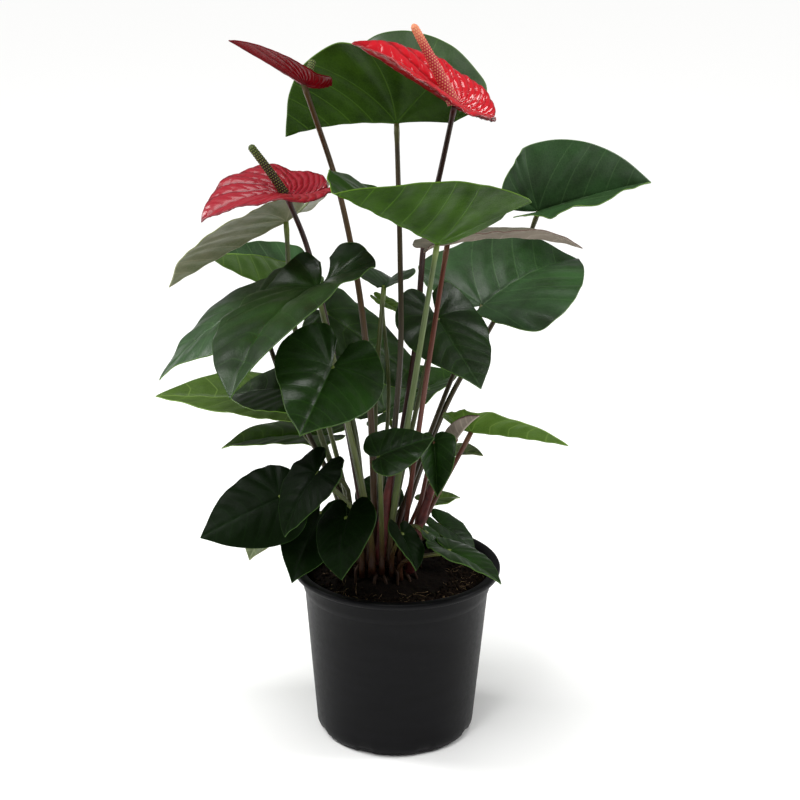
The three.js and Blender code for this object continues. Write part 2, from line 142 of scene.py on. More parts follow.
@dataclass(frozen=True)
class LeafSkin(Finish):
    """One face of an anthurium leaf: a waxy cuticle over green tissue, with sunken veins.

    The wax gives a soft broad sheen, and lighter patches, partly the tissue's own mottling and partly painted
    sheen, lay more of it into the colour. The veins and the margin carry less green, so they read lighter. Widths and
    sizes are millimetres, and scales are per metre.
    """

    tissue: str
    mottle_and_painted_sheen: str
    vein: str
    margin: str
    roughness: float = 0.42
    specular: float = 0.28
    vein_show: float = 0.5
    vein_width: float = 0.75
    net_show: float = 0.12
    mottle_and_sheen_size: float = 26.0
    net_cell: float = 2.6
    smudge_scale: float = 140.0
    pore_scale: float = 1400.0
    vein_depth: float = 0.35

    def nodes(self, add: Callable) -> dict[str | int, object]:
        """Lays net, veins and margin over patchy tissue, and sinks the veins into the wax.

        Args:
            add: add_node, for the material's tree.

        Returns:
            The inputs of the surface.
        """
        place = add("TexCoord", out="Object")
        flat = add("UVMap", uv_map="flat")
        count = add("SeparateXYZ", {0: add("UVMap", uv_map="veins")})
        wave = add("Math", {0: count, 1: 0.5}, operation="PINGPONG")
        away = add("Math", {0: wave, 1: count.node.outputs["Y"]}, operation="MULTIPLY")
        width, show = self.vein_width, self.vein_show
        side_vein = add("MapRange", {0: away, 1: 0.25 * width, 2: width, 3: show, 4: 0.0}, **EASED)
        off_rib = add("Math", {0: add("SeparateXYZ", {0: flat}, out="Y")}, operation="ABSOLUTE")
        rib = 1.5 * width / FLAT
        midrib = add("MapRange", {0: off_rib, 1: 0.4 * rib, 2: rib, 3: 1.25 * show, 4: 0.0}, **EASED)
        ribs = add("Math", {0: side_vein, 1: midrib}, operation="MAXIMUM", use_clamp=True)
        cells = add("TexVoronoi", {"Vector": flat, "Scale": FLAT / self.net_cell}, feature="DISTANCE_TO_EDGE")
        net = add("MapRange", {0: cells, 1: 0.0, 2: 0.14, 3: 1.0, 4: 0.0})
        # Lighter patches: partly the tissue's own mottling, partly a painted sheen.
        drift = add("TexNoise", {"Vector": place, "Scale": 1000 / self.mottle_and_sheen_size, "Detail": 4.0, "Roughness": 0.55})
        mottle_and_sheen_mask = add("MapRange", {0: drift, 1: 0.35, 2: 0.68})
        tissue = add("Mix", {0: mottle_and_sheen_mask, 6: linear(self.tissue), 7: linear(self.mottle_and_painted_sheen)}, **RGBA)
        net_amount = add("Math", {0: net, 1: self.net_show}, operation="MULTIPLY")
        netted = add("Mix", {0: net_amount, 6: tissue, 7: linear(self.vein)}, **RGBA)
        ribbed = add("Mix", {0: ribs, 6: netted, 7: linear(self.vein)}, **RGBA)
        edge = add("Attribute", out="Fac", attribute_name="edge")
        border = add("MapRange", {0: edge, 1: 0.1, 2: 0.6, 3: 0.65, 4: 0.0}, **EASED)
        smudge = add("TexNoise", {"Vector": place, "Scale": self.smudge_scale, "Detail": 3.0})
        glossy, dull = self.roughness - 0.06, self.roughness + 0.08
        pores = add("TexNoise", {"Vector": place, "Scale": self.pore_scale, "Detail": 2.0})
        raised = add("Math", {0: pores, 1: 0.25}, operation="MULTIPLY")
        sunk = add("Math", {0: net, 1: -0.3, 2: raised}, operation="MULTIPLY_ADD")
        relief = add("Math", {0: ribs, 1: -1.2, 2: sunk}, operation="MULTIPLY_ADD")
        return {
            "Base Color": add("Mix", {0: border, 6: ribbed, 7: linear(self.margin)}, **RGBA),
            "Roughness": add("MapRange", {0: smudge, 1: 0.3, 2: 0.7, 3: glossy, 4: dull}),
            "IOR": 1.45,
            "Specular IOR Level": self.specular,
            "Normal": add("Bump", {"Strength": 0.35, "Distance": self.vein_depth * MM, "Height": relief}),
        }


@dataclass(frozen=True)
class StalkSkin(Finish):
    """The skin of a stalk: smooth and waxy, finely streaked, red at its foot and lighter at the blade."""

    body: str
    streak: str
    neck: str
    foot: str = "#451a16"
    roughness: float = 0.42
    streak_width: float = 1.1
    streak_length: float = 40.0
    neck_reach: tuple[float, float] = (3.0, 22.0)

    def nodes(self, add: Callable) -> dict[str | int, object]:
        """Streaks the body, then blends in the neck and the red foot.

        Args:
            add: add_node, for the material's tree.

        Returns:
            The inputs of the surface.
        """
        along = add("UVMap", uv_map="flat")
        stretch = (FLAT / self.streak_width, FLAT / self.streak_length, 1.0)
        drawn = add("Mapping", {"Vector": along, "Scale": stretch})
        streaks = add("TexNoise", {"Vector": drawn, "Scale": 1.0, "Detail": 3.0})
        spread = add("MapRange", {0: streaks, 1: 0.35, 2: 0.7})
        body = add("Mix", {0: spread, 6: linear(self.body), 7: linear(self.streak)}, **RGBA)
        edge = add("Attribute", out="Fac", attribute_name="edge")
        near, far = self.neck_reach
        neck = add("MapRange", {0: edge, 1: near, 2: far, 3: 0.8, 4: 0.0}, **EASED)
        upper = add("Mix", {0: neck, 6: body, 7: linear(self.neck)}, **RGBA)
        flush = add("Attribute", out="Fac", attribute_name="groove")
        return {
            "Base Color": add("Mix", {0: flush, 6: upper, 7: linear(self.foot)}, **RGBA),
            "Roughness": self.roughness,
            "IOR": 1.45,
            "Specular IOR Level": 0.4,
            "Normal": add("Bump", {"Strength": 0.3, "Distance": 0.25 * MM, "Height": streaks}),
        }


@dataclass(frozen=True)
class SpatheLacquer(Finish):
    """The face of a spathe: thick wax like lacquer over red tissue, with painted shade darkening the sunken veins."""

    crest: str
    groove: str
    margin: str
    roughness: float = 0.2
    coat: float = 0.9
    specular: float = 0.2
    grain_scale: float = 420.0

    def nodes(self, add: Callable) -> dict[str | int, object]:
        """Darkens the grooves with painted shade, deepens the red at the margin, all under a grained coat.

        Args:
            add: add_node, for the material's tree.

        Returns:
            The inputs of the surface.
        """
        # Painted shade: the red darkens from the crest colour to the groove colour in the grooves between blisters.
        groove = add("Attribute", out="Fac", attribute_name="groove")
        depth = add("MapRange", {0: groove, 1: 0.35, 2: 0.95}, **EASED)
        base = add("Mix", {0: depth, 6: linear(self.crest), 7: linear(self.groove)}, **RGBA)
        edge = add("Attribute", out="Fac", attribute_name="edge")
        border = add("MapRange", {0: edge, 1: 0.2, 2: 1.2, 3: 0.6, 4: 0.0})
        place = add("TexCoord", out="Object")
        grain = add("TexNoise", {"Vector": place, "Scale": self.grain_scale, "Detail": 3.0})
        return {
            "Base Color": add("Mix", {0: border, 6: base, 7: linear(self.margin)}, **RGBA),
            "Roughness": self.roughness + 0.14,
            "IOR": 1.5,
            "Specular IOR Level": self.specular,
            "Coat Weight": self.coat,
            "Coat Roughness": self.roughness,
            "Normal": add("Bump", {"Strength": 0.3, "Distance": 0.3 * MM, "Height": grain}),
        }


@dataclass(frozen=True)
class SpadixFlesh(Finish):
    """A fleshy spike set with tiny beads, each with a dry yellow dot, that changes colour towards its tip."""

    low: str
    high: str
    dot: str

    def nodes(self, add: Callable) -> dict[str | int, object]:
        """Blends the flesh from foot to tip, and dots the beads.

        Args:
            add: add_node, for the material's tree.

        Returns:
            The inputs of the surface.
        """
        from_tip = add("Attribute", out="Fac", attribute_name="edge")
        rise = add("MapRange", {0: from_tip, 1: 2.0, 2: 22.0, 3: 1.0, 4: 0.0}, **EASED)
        flesh = add("Mix", {0: rise, 6: linear(self.low), 7: linear(self.high)}, **RGBA)
        bead = add("Attribute", out="Fac", attribute_name="groove")
        dots = add("MapRange", {0: bead, 1: 0.58, 2: 0.8})
        colour = add("Mix", {0: dots, 6: flesh, 7: linear(self.dot)}, **RGBA)
        return {"Base Color": colour, "Roughness": 0.48, "IOR": 1.45, "Specular IOR Level": 0.35}


@dataclass(frozen=True)
class DrySkin(Finish):
    """Dry plant tissue or peat: matt, patchy and rough to the touch. grain and relief are millimetres."""

    dark: str
    light: str
    grain: float
    roughness: float = 0.85
    relief: float = 0.5
    specular: float = 0.2

    def nodes(self, add: Callable) -> dict[str | int, object]:
        """Mottles two colours and roughens the surface by the same grain.

        Args:
            add: add_node, for the material's tree.

        Returns:
            The inputs of the surface.
        """
        place = add("TexCoord", out="Object")
        mottle = add("TexNoise", {"Vector": place, "Scale": 1000 / self.grain, "Detail": 6.0, "Roughness": 0.7})
        spread = add("MapRange", {0: mottle, 1: 0.35, 2: 0.75})
        return {
            "Base Color": add("Mix", {0: spread, 6: linear(self.dark), 7: linear(self.light)}, **RGBA),
            "Roughness": self.roughness,
            "Specular IOR Level": self.specular,
            "Normal": add("Bump", {"Strength": 0.7, "Distance": self.relief * MM, "Height": mottle}),
        }


@dataclass(frozen=True)
class MouldedPolypropylene(Finish):
    """Black polypropylene from a mould: a fine satin, faint flow marks, and a breath of dust and dried water.

    Scales are per metre. The flow marks run round the pot, some 60 mm long and 9 mm high.
    """

    name: str = "moulded_polypropylene"
    body: str = "#070709"
    worn: str = "#0c0c0f"
    dust: str = "#1f1e1d"
    flow_scale: tuple[float, float, float] = (16.0, 16.0, 110.0)
    speck_scale: float = 230.0
    grain_scale: float = 1600.0

    def nodes(self, add: Callable) -> dict[str | int, object]:
        """Draws the flow marks, settles the dust and grains the satin.

        Args:
            add: add_node, for the material's tree.

        Returns:
            The inputs of the surface.
        """
        place = add("TexCoord", out="Object")
        drawn = add("Mapping", {"Vector": place, "Scale": self.flow_scale})
        flow = add("TexNoise", {"Vector": drawn, "Scale": 1.0, "Detail": 5.0})
        spread = add("MapRange", {0: flow, 1: 0.38, 2: 0.72})
        body = add("Mix", {0: spread, 6: linear(self.body), 7: linear(self.worn)}, **RGBA)
        specks = add("TexNoise", {"Vector": place, "Scale": self.speck_scale, "Detail": 5.0, "Roughness": 0.75})
        settled = add("MapRange", {0: specks, 1: 0.6, 2: 0.8, 3: 0.0, 4: 0.3})
        grain = add("TexNoise", {"Vector": place, "Scale": self.grain_scale, "Detail": 2.0})
        return {
            "Base Color": add("Mix", {0: settled, 6: body, 7: linear(self.dust)}, **RGBA),
            "Roughness": add("MapRange", {0: specks, 1: 0.3, 2: 0.7, 3: 0.4, 4: 0.52}),
            "IOR": 1.49,
            "Specular IOR Level": 0.11,
            "Normal": add("Bump", {"Strength": 0.2, "Distance": 0.1 * MM, "Height": grain}),
        }


@dataclass(frozen=True)
class MattPaper(Finish):
    """The pale paper of the studio floor."""

    name: str = "matt_paper"
    colour: str = "#fbfbfa"

    def nodes(self, add: Callable) -> dict[str | int, object]:
        """Returns one plain colour, because the paper has no nodes of its own."""
        return {"Base Color": linear(self.colour), "Roughness": 0.9, "Specular IOR Level": 0.1}


class Tone(Enum):
    """How old a leaf is, which sets the skins of its upper face and its underside. Some tones also paint light:
    a sheen, the shade under the leaves above, or light shining through the underside.
    """

    DARK = (
        LeafSkin("leaf_upper_dark", "#112208", "#1a340c", "#2f4e1d", "#3a581e", roughness=0.34, vein_show=0.3),
        LeafSkin("leaf_under_dark", "#26400f", "#335014", "#4a6a26", "#4a6630", roughness=0.5, specular=0.1),
    )
    # Near-black greens that paint the shade under the leaves above, for the low leaves beneath the canopy.
    DEEP = (
        LeafSkin(
            "leaf_upper_deep", "#071203", "#0b1906", "#162c0e", "#223c13",
            specular=0.05, vein_show=0.15, net_show=0.03,
        ),
        LeafSkin("leaf_under_deep", "#1e320e", "#274018", "#3c5824", "#3c5824", roughness=0.5, specular=0.1),
    )
    # Lighter, greyer greens that paint a sheen into the colour, on top of the real gloss of their specular.
    SHEEN = (
        LeafSkin(
            "leaf_upper_sheen", "#1e3417", "#2b4925", "#48673b", "#547438",
            roughness=0.38, specular=0.4, vein_show=0.35,
        ),
        LeafSkin("leaf_under_sheen", "#365218", "#43621f", "#5c782d", "#68873a", roughness=0.5, specular=0.15),
    )
    BRIGHT = (
        LeafSkin("leaf_upper_bright", "#182d08", "#23400f", "#3f5e1e", "#587828", roughness=0.38, vein_show=0.35),
        # A lighter underside that paints light shining through the leaf.
        LeafSkin("leaf_under_bright", "#203806", "#33520c", "#4b7018", "#5f802a", specular=0.1, vein_show=0.5),
    )
    PALE = (
        LeafSkin("leaf_upper_pale", "#5f6c45", "#738058", "#8e9870", "#929868", roughness=0.45),
        LeafSkin("leaf_under_pale", "#6b7352", "#858469", "#9f9c7c", "#929868", roughness=0.45, net_show=0.2),
    )
    MAUVE = (
        LeafSkin("leaf_upper_mauve", "#5c5a4a", "#6b6558", "#857a6c", "#4b2418", roughness=0.5),
        LeafSkin("leaf_under_mauve", "#756b60", "#8b8074", "#a3968a", "#4b2418", roughness=0.5),
    )
    FRESH = (
        LeafSkin("leaf_upper_fresh", "#344a14", "#455e20", "#647c38", "#6e8a38", roughness=0.38),
        LeafSkin("leaf_under_fresh", "#4a6a24", "#5c7c2e", "#789742", "#809c48", roughness=0.5, specular=0.15),
    )


class Wax(Enum):
    """How old a spathe is, which sets the wax of its face and its back."""

    YOUNG = (
        SpatheLacquer("spathe_face_young", "#c00a1c", "#7c020c", "#a00818", roughness=0.1, coat=1.0),
        SpatheLacquer("spathe_back_young", "#a00a18", "#7c0412", "#900a16", roughness=0.16, coat=0.7),
    )
    RIPE = (
        SpatheLacquer("spathe_face_ripe", "#8c0814", "#6e0510", "#760712", roughness=0.16, coat=0.4),
        SpatheLacquer("spathe_back_ripe", "#6c030c", "#54020a", "#5c030c", coat=0.12, specular=0.05),
    )
    FADED = (
        SpatheLacquer("spathe_face_faded", "#921826", "#5e0e1a", "#721420", roughness=0.2, coat=0.45),
        SpatheLacquer("spathe_back_faded", "#86182a", "#66121f", "#7a1a26", roughness=0.24, coat=0.3),
    )


class Bark(Enum):
    """The colour of a stalk."""

    OLIVE = StalkSkin("stalk_olive", "#3f4622", "#525b2c", "#6a7a34")
    GREEN = StalkSkin("stalk_green", "#47562a", "#5b6b38", "#74863f")
    BROWN = StalkSkin("stalk_brown", "#2b2413", "#3d3219", "#55562a")
    RUSSET = StalkSkin("stalk_russet", "#4f271b", "#673524", "#6a4a32")
    MAROON = StalkSkin("stalk_maroon", "#2a1512", "#3c1d17", "#4c161b")
    UMBER = StalkSkin("stalk_umber", "#3c2c13", "#51391b", "#4c3a1b")


# ---------------------------------------- Mesh work ----------------------------------------


def smooth_step(low: float, high: float, value: float) -> float:
    """Returns 0 below low, 1 above high, and an eased value between them."""
    t = min(max((value - low) / (high - low), 0.0), 1.0)
    return t * t * (3 - 2 * t)


# How finely a curve is followed between two of its points before it is sampled.
CURVE_STEPS = 24


def through(points: list[Vector], samples: int) -> list[Vector]:
    """Samples a smooth curve that passes through some points.

    Args:
        points: the points, in order.
        samples: how many points to return, evenly spaced along the curve.

    Returns:
        The sampled points, from the first point to the last.
    """
    padded = [2 * points[0] - points[1], *points, 2 * points[-1] - points[-2]]
    fine: list[Vector] = []
    for a, b, c, d in zip(padded, padded[1:], padded[2:], padded[3:]):
        first, middle, last = (math.sqrt(max((q - p).length, 1e-9)) for p, q in ((a, b), (b, c), (c, d)))
        leave = ((b - a) / first - (c - a) / (first + middle) + (c - b) / middle) * middle
        arrive = ((c - b) / middle - (d - b) / (middle + last) + (d - c) / last) * middle
        for k in range(CURVE_STEPS):
            t = k / CURVE_STEPS
            fine.append(
                b + leave * t + (3 * (c - b) - 2 * leave - arrive) * t**2 + (2 * (b - c) + leave + arrive) * t**3
            )
    fine.append(points[-1].copy())
    reach = [0.0]
    for a, b in zip(fine, fine[1:]):
        reach.append(reach[-1] + (b - a).length)
    result = []
    k = 0
    for i in range(samples):
        want = reach[-1] * i / (samples - 1)
        while k < len(fine) - 2 and reach[k + 1] < want:
            k += 1
        step = max(reach[k + 1] - reach[k], 1e-9)
        result.append(fine[k].lerp(fine[k + 1], min(max((want - reach[k]) / step, 0.0), 1.0)))
    return result


class Spot(NamedTuple):
    """A point of a sheet: its place, its flat and vein map coordinates, and its edge and groove values."""

    point: Vector
    flat: Vector = Vector()
    veins: Vector = Vector()
    edge: float = 0.0
    groove: float = 0.0


def add_sheet(mesh: bmesh.types.BMesh, columns: int, rows: int, place: Callable[[float, float], Spot]) -> None:
    """Adds a grid to a mesh and lays it out in space.

    Args:
        mesh: the mesh that takes the sheet.
        columns: how many faces it has across.
        rows: how many faces it has along.
        place: gives the spot, in millimetres, of a point from (0, 0) to (1, 1).
    """
    flat = mesh.loops.layers.uv.get("flat") or mesh.loops.layers.uv.new("flat")
    veins = mesh.loops.layers.uv.get("veins") or mesh.loops.layers.uv.new("veins")
    edge = mesh.verts.layers.float.get("edge") or mesh.verts.layers.float.new("edge")
    groove = mesh.verts.layers.float.get("groove") or mesh.verts.layers.float.new("groove")
    made = bmesh.ops.create_grid(mesh, x_segments=columns, y_segments=rows, size=0.5)["verts"]
    for vertex in made:
        spot = place(vertex.co.x + 0.5, vertex.co.y + 0.5)
        vertex.co = spot.point * MM
        vertex[edge], vertex[groove] = spot.edge, spot.groove
        for loop in vertex.link_loops:
            loop[flat].uv, loop[veins].uv = spot.flat.xy, spot.veins.xy


def add_tube(
    mesh: bmesh.types.BMesh,
    path: list[Vector],
    radius: Callable[[float, float], float],
    sides: int,
    groove: Callable[[float, float], float] | None = None,
) -> None:
    """Adds a closed round tube along a path.

    Args:
        mesh: the mesh that takes the tube.
        path: its centre line, evenly spaced.
        radius: its radius for a place around it and a place along it, both from 0 to 1.
        sides: how many faces go round it.
        groove: what the groove value is at those places, or nothing for 0.
    """
    count = len(path)
    ahead = [(path[min(i + 1, count - 1)] - path[max(i - 1, 0)]).normalized() for i in range(count)]
    across = [ahead[0].orthogonal().normalized()]
    for direction in ahead[1:]:
        across.append((across[-1] - direction * across[-1].dot(direction)).normalized())
    length = sum((b - a).length for a, b in zip(path, path[1:]))
    rows = count + 1

    def place(u: float, v: float) -> Spot:
        """Places a point of the grid on the tube. The first and the last row close the ends."""
        row = round(v * rows)
        i = min(max(row - 1, 0), count - 1)
        along = i / (count - 1)
        turn = 2 * math.pi * u
        side = across[i] * math.cos(turn) + ahead[i].cross(across[i]) * math.sin(turn)
        size = 0.0 if row in (0, rows) else radius(u % 1.0, along)
        on_flat = Vector((u * 2 * math.pi * max(size, 0.1) / FLAT, along * length / FLAT, 0))
        depth = groove(u % 1.0, along) if groove else 0.0
        return Spot(path[i] + side * size, on_flat, Vector((u, along, 0)), (1 - along) * length, depth)

    add_sheet(mesh, sides, rows, place)


def make_piece(
    mesh: bmesh.types.BMesh,
    name: str,
    materials: list[bpy.types.Material],
    nodes: list[str],
    up: Vector | None = None,
) -> bpy.types.Object:
    """Closes a mesh, turns its faces the right way, and makes it a piece of the plant.

    Args:
        mesh: the mesh, which is freed.
        name: the piece's name.
        materials: its materials, in slot order.
        nodes: the CAD nodes that it stands for.
        up: for an open sheet, the way that most of its faces look.

    Returns:
        The new object, in place and riding on the plant.
    """
    bmesh.ops.remove_doubles(mesh, verts=mesh.verts, dist=0.01 * MM)
    bmesh.ops.recalc_face_normals(mesh, faces=mesh.faces)
    if up is not None and sum((f.normal * f.calc_area() for f in mesh.faces), Vector()).dot(up) < 0:
        bmesh.ops.reverse_faces(mesh, faces=mesh.faces)
    for face in mesh.faces:
        face.smooth = True
    data = bpy.data.meshes.new(name)
    mesh.to_mesh(data)
    mesh.free()
    for material in materials:
        data.materials.append(material)
    piece = bpy.data.objects.new(name, data)
    bpy.context.scene.collection.objects.link(piece)
    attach(piece, "root")
    if nodes:
        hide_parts(*nodes)
    LOG.info("%s: %d faces", name, len(data.polygons))
    return piece


def thicken(piece: bpy.types.Object, thickness: float, backs: int) -> None:
    """Gives a sheet its thickness, and its back and rim the back's material.

    Args:
        piece: the sheet.
        thickness: in millimetres.
        backs: how far along the material slots the back's material is.
    """
    wall = piece.modifiers.new("thickness", "SOLIDIFY")
    wall.thickness = thickness * MM
    wall.offset = 0.0
    wall.material_offset = backs
    wall.material_offset_rim = backs


# ---------------------------------------- Blades ----------------------------------------

# Half of a heart-shaped blade's outline, from the notch at the stalk, round the back lobe, to the tip:
# x in units of the length (of the lobe, where negative), y in units of half the width.
HEART = (
    (-0.75, 0.12),
    (-1.0, 0.36),
    (-0.94, 0.55),
    (-0.72, 0.7),
    (-0.38, 0.87),
    (0.02, 0.98),
    (0.25, 0.96),
    (0.5, 0.79),
    (0.75, 0.47),
    (0.9, 0.19),
    (1.0, 0.0),
)

# A spathe's lobes are rounder and close up behind its stalk.
SPATHE_LOBE = (
    (-0.94, 0.03),
    (-1.0, 0.22),
    (-0.96, 0.45),
    (-0.78, 0.68),
)
SPATHE_HEART = SPATHE_LOBE + HEART[len(SPATHE_LOBE) :]


# How many side veins leave the midrib on one side, and how many cross a back lobe.
SIDE_VEINS = 5.2
LOBE_VEINS = 3.3
# How far from the stalk the last row of faces starts, where the margin is 1.
MARGIN_ROW = 0.985
# How high the quilting between veins, the long ripple and the short flutter stand, as shares of the length.
QUILT, RIPPLE, FLUTTER = 0.007, 0.045, 0.018


class OnBlade(NamedTuple):
    """A point of a flat blade: along and away from the midrib, and 1 on the left half or -1 on the right."""

    x: float
    y: float
    side: float


@dataclass(frozen=True)
class Blade:
    """A heart-shaped blade: a flat shape that is folded along its midrib and bent both ways.

    at is where the stalk meets it. heading and pitch are where the midrib sets off from there, and roll raises
    the left half. fold is how far the left and right halves rise from the midrib, curl how far they turn down
    towards the edges, droop how far the midrib bends down and lift how far the back lobes bend up.
    """

    name: str
    at: tuple[float, float, float]
    heading: float
    pitch: float
    length: float
    width: float
    roll: float = 0.0
    fold: tuple[float, float] = (15.0, 15.0)
    curl: float = 20.0
    droop: float = 20.0
    lift: float = 10.0
    lobe: float = 0.36
    wave: float = 1.0
    outline: tuple[tuple[float, float], ...] = HEART

    def axes(self) -> Matrix:
        """Returns the blade's frame: along the midrib, to the left, and up from the upper face."""
        heading, pitch = math.radians(self.heading), math.radians(self.pitch)
        ahead = Vector(
            (math.cos(heading) * math.cos(pitch), math.sin(heading) * math.cos(pitch), math.sin(pitch))
        )
        left = Matrix.Rotation(math.radians(self.roll), 3, ahead) @ Vector((-math.sin(heading), math.cos(heading), 0))
        up = ahead.cross(left)
        turn = Matrix((ahead, left, up)).transposed().to_4x4()
        return Matrix.Translation(Vector(self.at)) @ turn

    def bent(self, spot: OnBlade, height: float) -> Vector:
        """Bends a point of the flat blade into shape.

        Args:
            spot: the point.
            height: how far it stands out of the upper face.

        Returns:
            Its place in the blade's own frame.
        """
        x, y, side = spot
        reach = self.length * (1 if x >= 0 else self.lobe)
        along = math.radians(self.droop if x >= 0 else self.lift) / reach
        curvature = -along if x >= 0 else along
        turn = curvature * x
        straight = abs(curvature) < 1e-6
        mid_x = x if straight else math.sin(turn) / curvature
        mid_z = 0.0 if straight else (1 - math.cos(turn)) / curvature
        fold = math.radians(self.fold[0 if side > 0 else 1])
        across = math.radians(self.curl) / (self.width / 2)
        slope = fold - across * y
        if abs(across) < 1e-6:
            out_y, out_z = y * math.cos(fold), y * math.sin(fold)
        else:
            out_y = (math.sin(fold) - math.sin(slope)) / across
            out_z = (math.cos(slope) - math.cos(fold)) / across
        out_y -= height * math.sin(slope)
        out_z += height * math.cos(slope)
        return Vector((mid_x - math.sin(turn) * out_z, side * out_y, mid_z + math.cos(turn) * out_z))

    def rim(self, columns: int) -> list[OnBlade]:
        """Runs round the outline from the left side of the notch to the right side.

        Args:
            columns: how many steps to take, an even number.

        Returns:
            The points of the outline.
        """
        half = [
            Vector((x * self.length * (self.lobe if x < 0 else 1), y * self.width / 2, 0)) for x, y in self.outline
        ]
        left = [OnBlade(p.x, max(p.y, 0.0), 1.0) for p in through(half, columns // 2 + 1)]
        return left + [OnBlade(x, y, -1.0) for x, y, _ in reversed(left[:-1])]

    def vein_at(self, spot: OnBlade) -> tuple[float, float]:
        """Counts the side veins up to a point of the flat blade.

        Args:
            spot: the point.

        Returns:
            The count, whole on a vein, and how many millimetres lie between two veins here.
        """
        x, y, side = spot
        half = self.width / 2
        spacing = self.length / SIDE_VEINS
        start = x - 0.5 * y - 0.4 * y * y / half
        shift = 0.3 * min(1.0, y / 10) if side < 0 else 0.0
        if start >= 0:
            return start / spacing + shift, spacing * 0.8
        first = math.atan2(max(y, 1e-6), 0.5 * y + 0.4 * y * y / half + 1e-6)
        step = (math.pi - first) / LOBE_VEINS
        angle = math.atan2(y, x)
        return shift - (angle - first) / step, step * math.hypot(x, y) + 0.05

    def relief(self, spot: OnBlade, reach: float) -> tuple[float, float]:
        """How far the blade's skin stands out at a point, and how deep it is in a groove.

        Args:
            spot: the point.
            reach: how far it is from the stalk to the margin, from 0 to 1.

        Returns:
            The height in millimetres and the groove from 0 to 1.
        """
        x, y, side = spot
        count, _ = self.vein_at(spot)
        quilt = math.sin(math.pi * count) ** 2
        fade = smooth_step(3, 18, math.hypot(x, y)) * (1 - smooth_step(0.86, 1.0, reach))
        height = QUILT * self.length * (quilt - 0.3) * fade
        height -= 0.7 * math.exp(-((y / 1.8) ** 2)) * (1 - reach * 0.5)
        angle = math.atan2(y * side, x)
        seed = sum(self.at) * 0.37
        ripple = noise.noise(Vector((2.1 * math.cos(angle), 2.1 * math.sin(angle), seed)))
        flutter = noise.noise(Vector((5.0 * math.cos(angle), 5.0 * math.sin(angle), seed + 9)))
        height += self.wave * self.length * (RIPPLE * ripple + FLUTTER * flutter) * reach**2.2
        return height, 1 - quilt

    def sheet(self, columns: int, rows: int) -> bmesh.types.BMesh:
        """Builds the blade as an open sheet, in metres and in place.

        Args:
            columns: how many faces go round it, an even number.
            rows: how many faces lie between the stalk and the margin.

        Returns:
            The sheet's mesh.
        """
        rim = self.rim(columns)
        axes = self.axes()

        def place(u: float, v: float) -> Spot:
            """Places a point of the grid on the blade. The last row is narrow, for a soft margin."""
            row = round(v * rows)
            reach = 1.0 if row == rows else MARGIN_ROW * row / (rows - 1)
            rim_x, rim_y, side = rim[round(u * columns)]
            spot = OnBlade(rim_x * reach, rim_y * reach, side)
            count, spacing = self.vein_at(spot)
            height, groove = self.relief(spot, reach)
            margin = math.hypot(rim_x, rim_y) * (1 - reach) * 0.8
            if u in (0.0, 1.0):
                margin = 0.5
            flat = Vector((spot.x / FLAT, side * spot.y / FLAT, 0))
            return Spot(axes @ self.bent(spot, height), flat, Vector((count, spacing, 0)), margin, groove)

        mesh = bmesh.new()
        add_sheet(mesh, columns, rows, place)
        return mesh

    def up(self) -> Vector:
        """Returns the way the blade's upper face looks at the stalk."""
        return self.axes().to_3x3().col[2].copy()


@dataclass(frozen=True)
class Leaf(Blade):
    """A leaf: a blade, and a stalk that leaves the crown at foot and passes through the via points."""

    foot: tuple[float, float] = (0.0, 0.0)
    via: tuple[tuple[float, float, float], ...] = ()
    radius: float = 2.6
    tone: Tone = Tone.DARK
    bark: Bark = Bark.OLIVE
    young: bool = False


@dataclass(frozen=True)
class Spathe(Blade):
    """The red blade of a flower, quilted by its sunken veins, with what is needed to build its spadix and stalk.

    quilt is how high the blisters stand, ribs how many rows of them each half has, and blister their length.
    """

    lobe: float = 0.5
    outline: tuple[tuple[float, float], ...] = SPATHE_HEART
    quilt: float = 1.0
    ribs: float = 8.0
    blister: float = 9.0
    foot: tuple[float, float] = (0.0, 0.0)
    via: tuple[tuple[float, float, float], ...] = ()
    radius: float = 3.0
    bark: Bark = Bark.MAROON
    wax: Wax = Wax.YOUNG
    spadix_tip: tuple[float, float, float] = (0.0, 0.0, 0.0)
    spadix_radius: tuple[float, float] = (4.0, 2.6)
    old: bool = True

    def relief(self, spot: OnBlade, reach: float) -> tuple[float, float]:
        """How far the spathe's skin stands out at a point, and how deep it is in a groove.

        Args:
            spot: the point.
            reach: how far it is from the stalk to the margin, from 0 to 1.

        Returns:
            The height in millimetres and the groove from 0 to 1.
        """
        x, y, side = spot
        out = math.hypot(x, y)
        angle = math.atan2(y, x)
        wander = noise.noise(Vector((x / 24, y / 24, side * 5 + sum(self.at)))) * 0.35
        count = self.ribs * angle / math.pi / (1 - 0.4 * reach) + wander
        strip = math.floor(count) + 0.5
        rows = out / self.blister + 0.5 * math.sin(5 * strip) + 0.35 * math.sin(2 * math.pi * count) + wander
        rib = abs(math.sin(math.pi * count)) ** 0.5
        cross = abs(math.sin(math.pi * rows)) ** 0.4
        puff = rib * (0.45 + 0.55 * cross) * smooth_step(1, 10, out) * (1 - 0.5 * smooth_step(0.9, 1.0, reach))
        seed = sum(self.at) * 0.21
        flutter = noise.noise(Vector((2.6 * math.cos(angle), 2.6 * side * math.sin(angle), seed)))
        height = self.quilt * (2.3 * puff - 1.0) * smooth_step(0, 6, out)
        height += self.wave * 0.05 * self.length * flutter * reach**2
        height -= 0.7 * math.exp(-((y / 1.4) ** 2))
        return height, 1 - puff

    def spadix_path(self) -> list[Vector]:
        """Returns the centre line of the spadix, from just above the spathe to its tip."""
        tip = Vector(self.spadix_tip)
        base = Vector(self.at)
        ahead = (tip - base).normalized()
        return through([base + ahead * 2.0, base.lerp(tip, 0.5) + self.up() * 0.6, tip], 150)


# ---------------------------------------- The plant ----------------------------------------


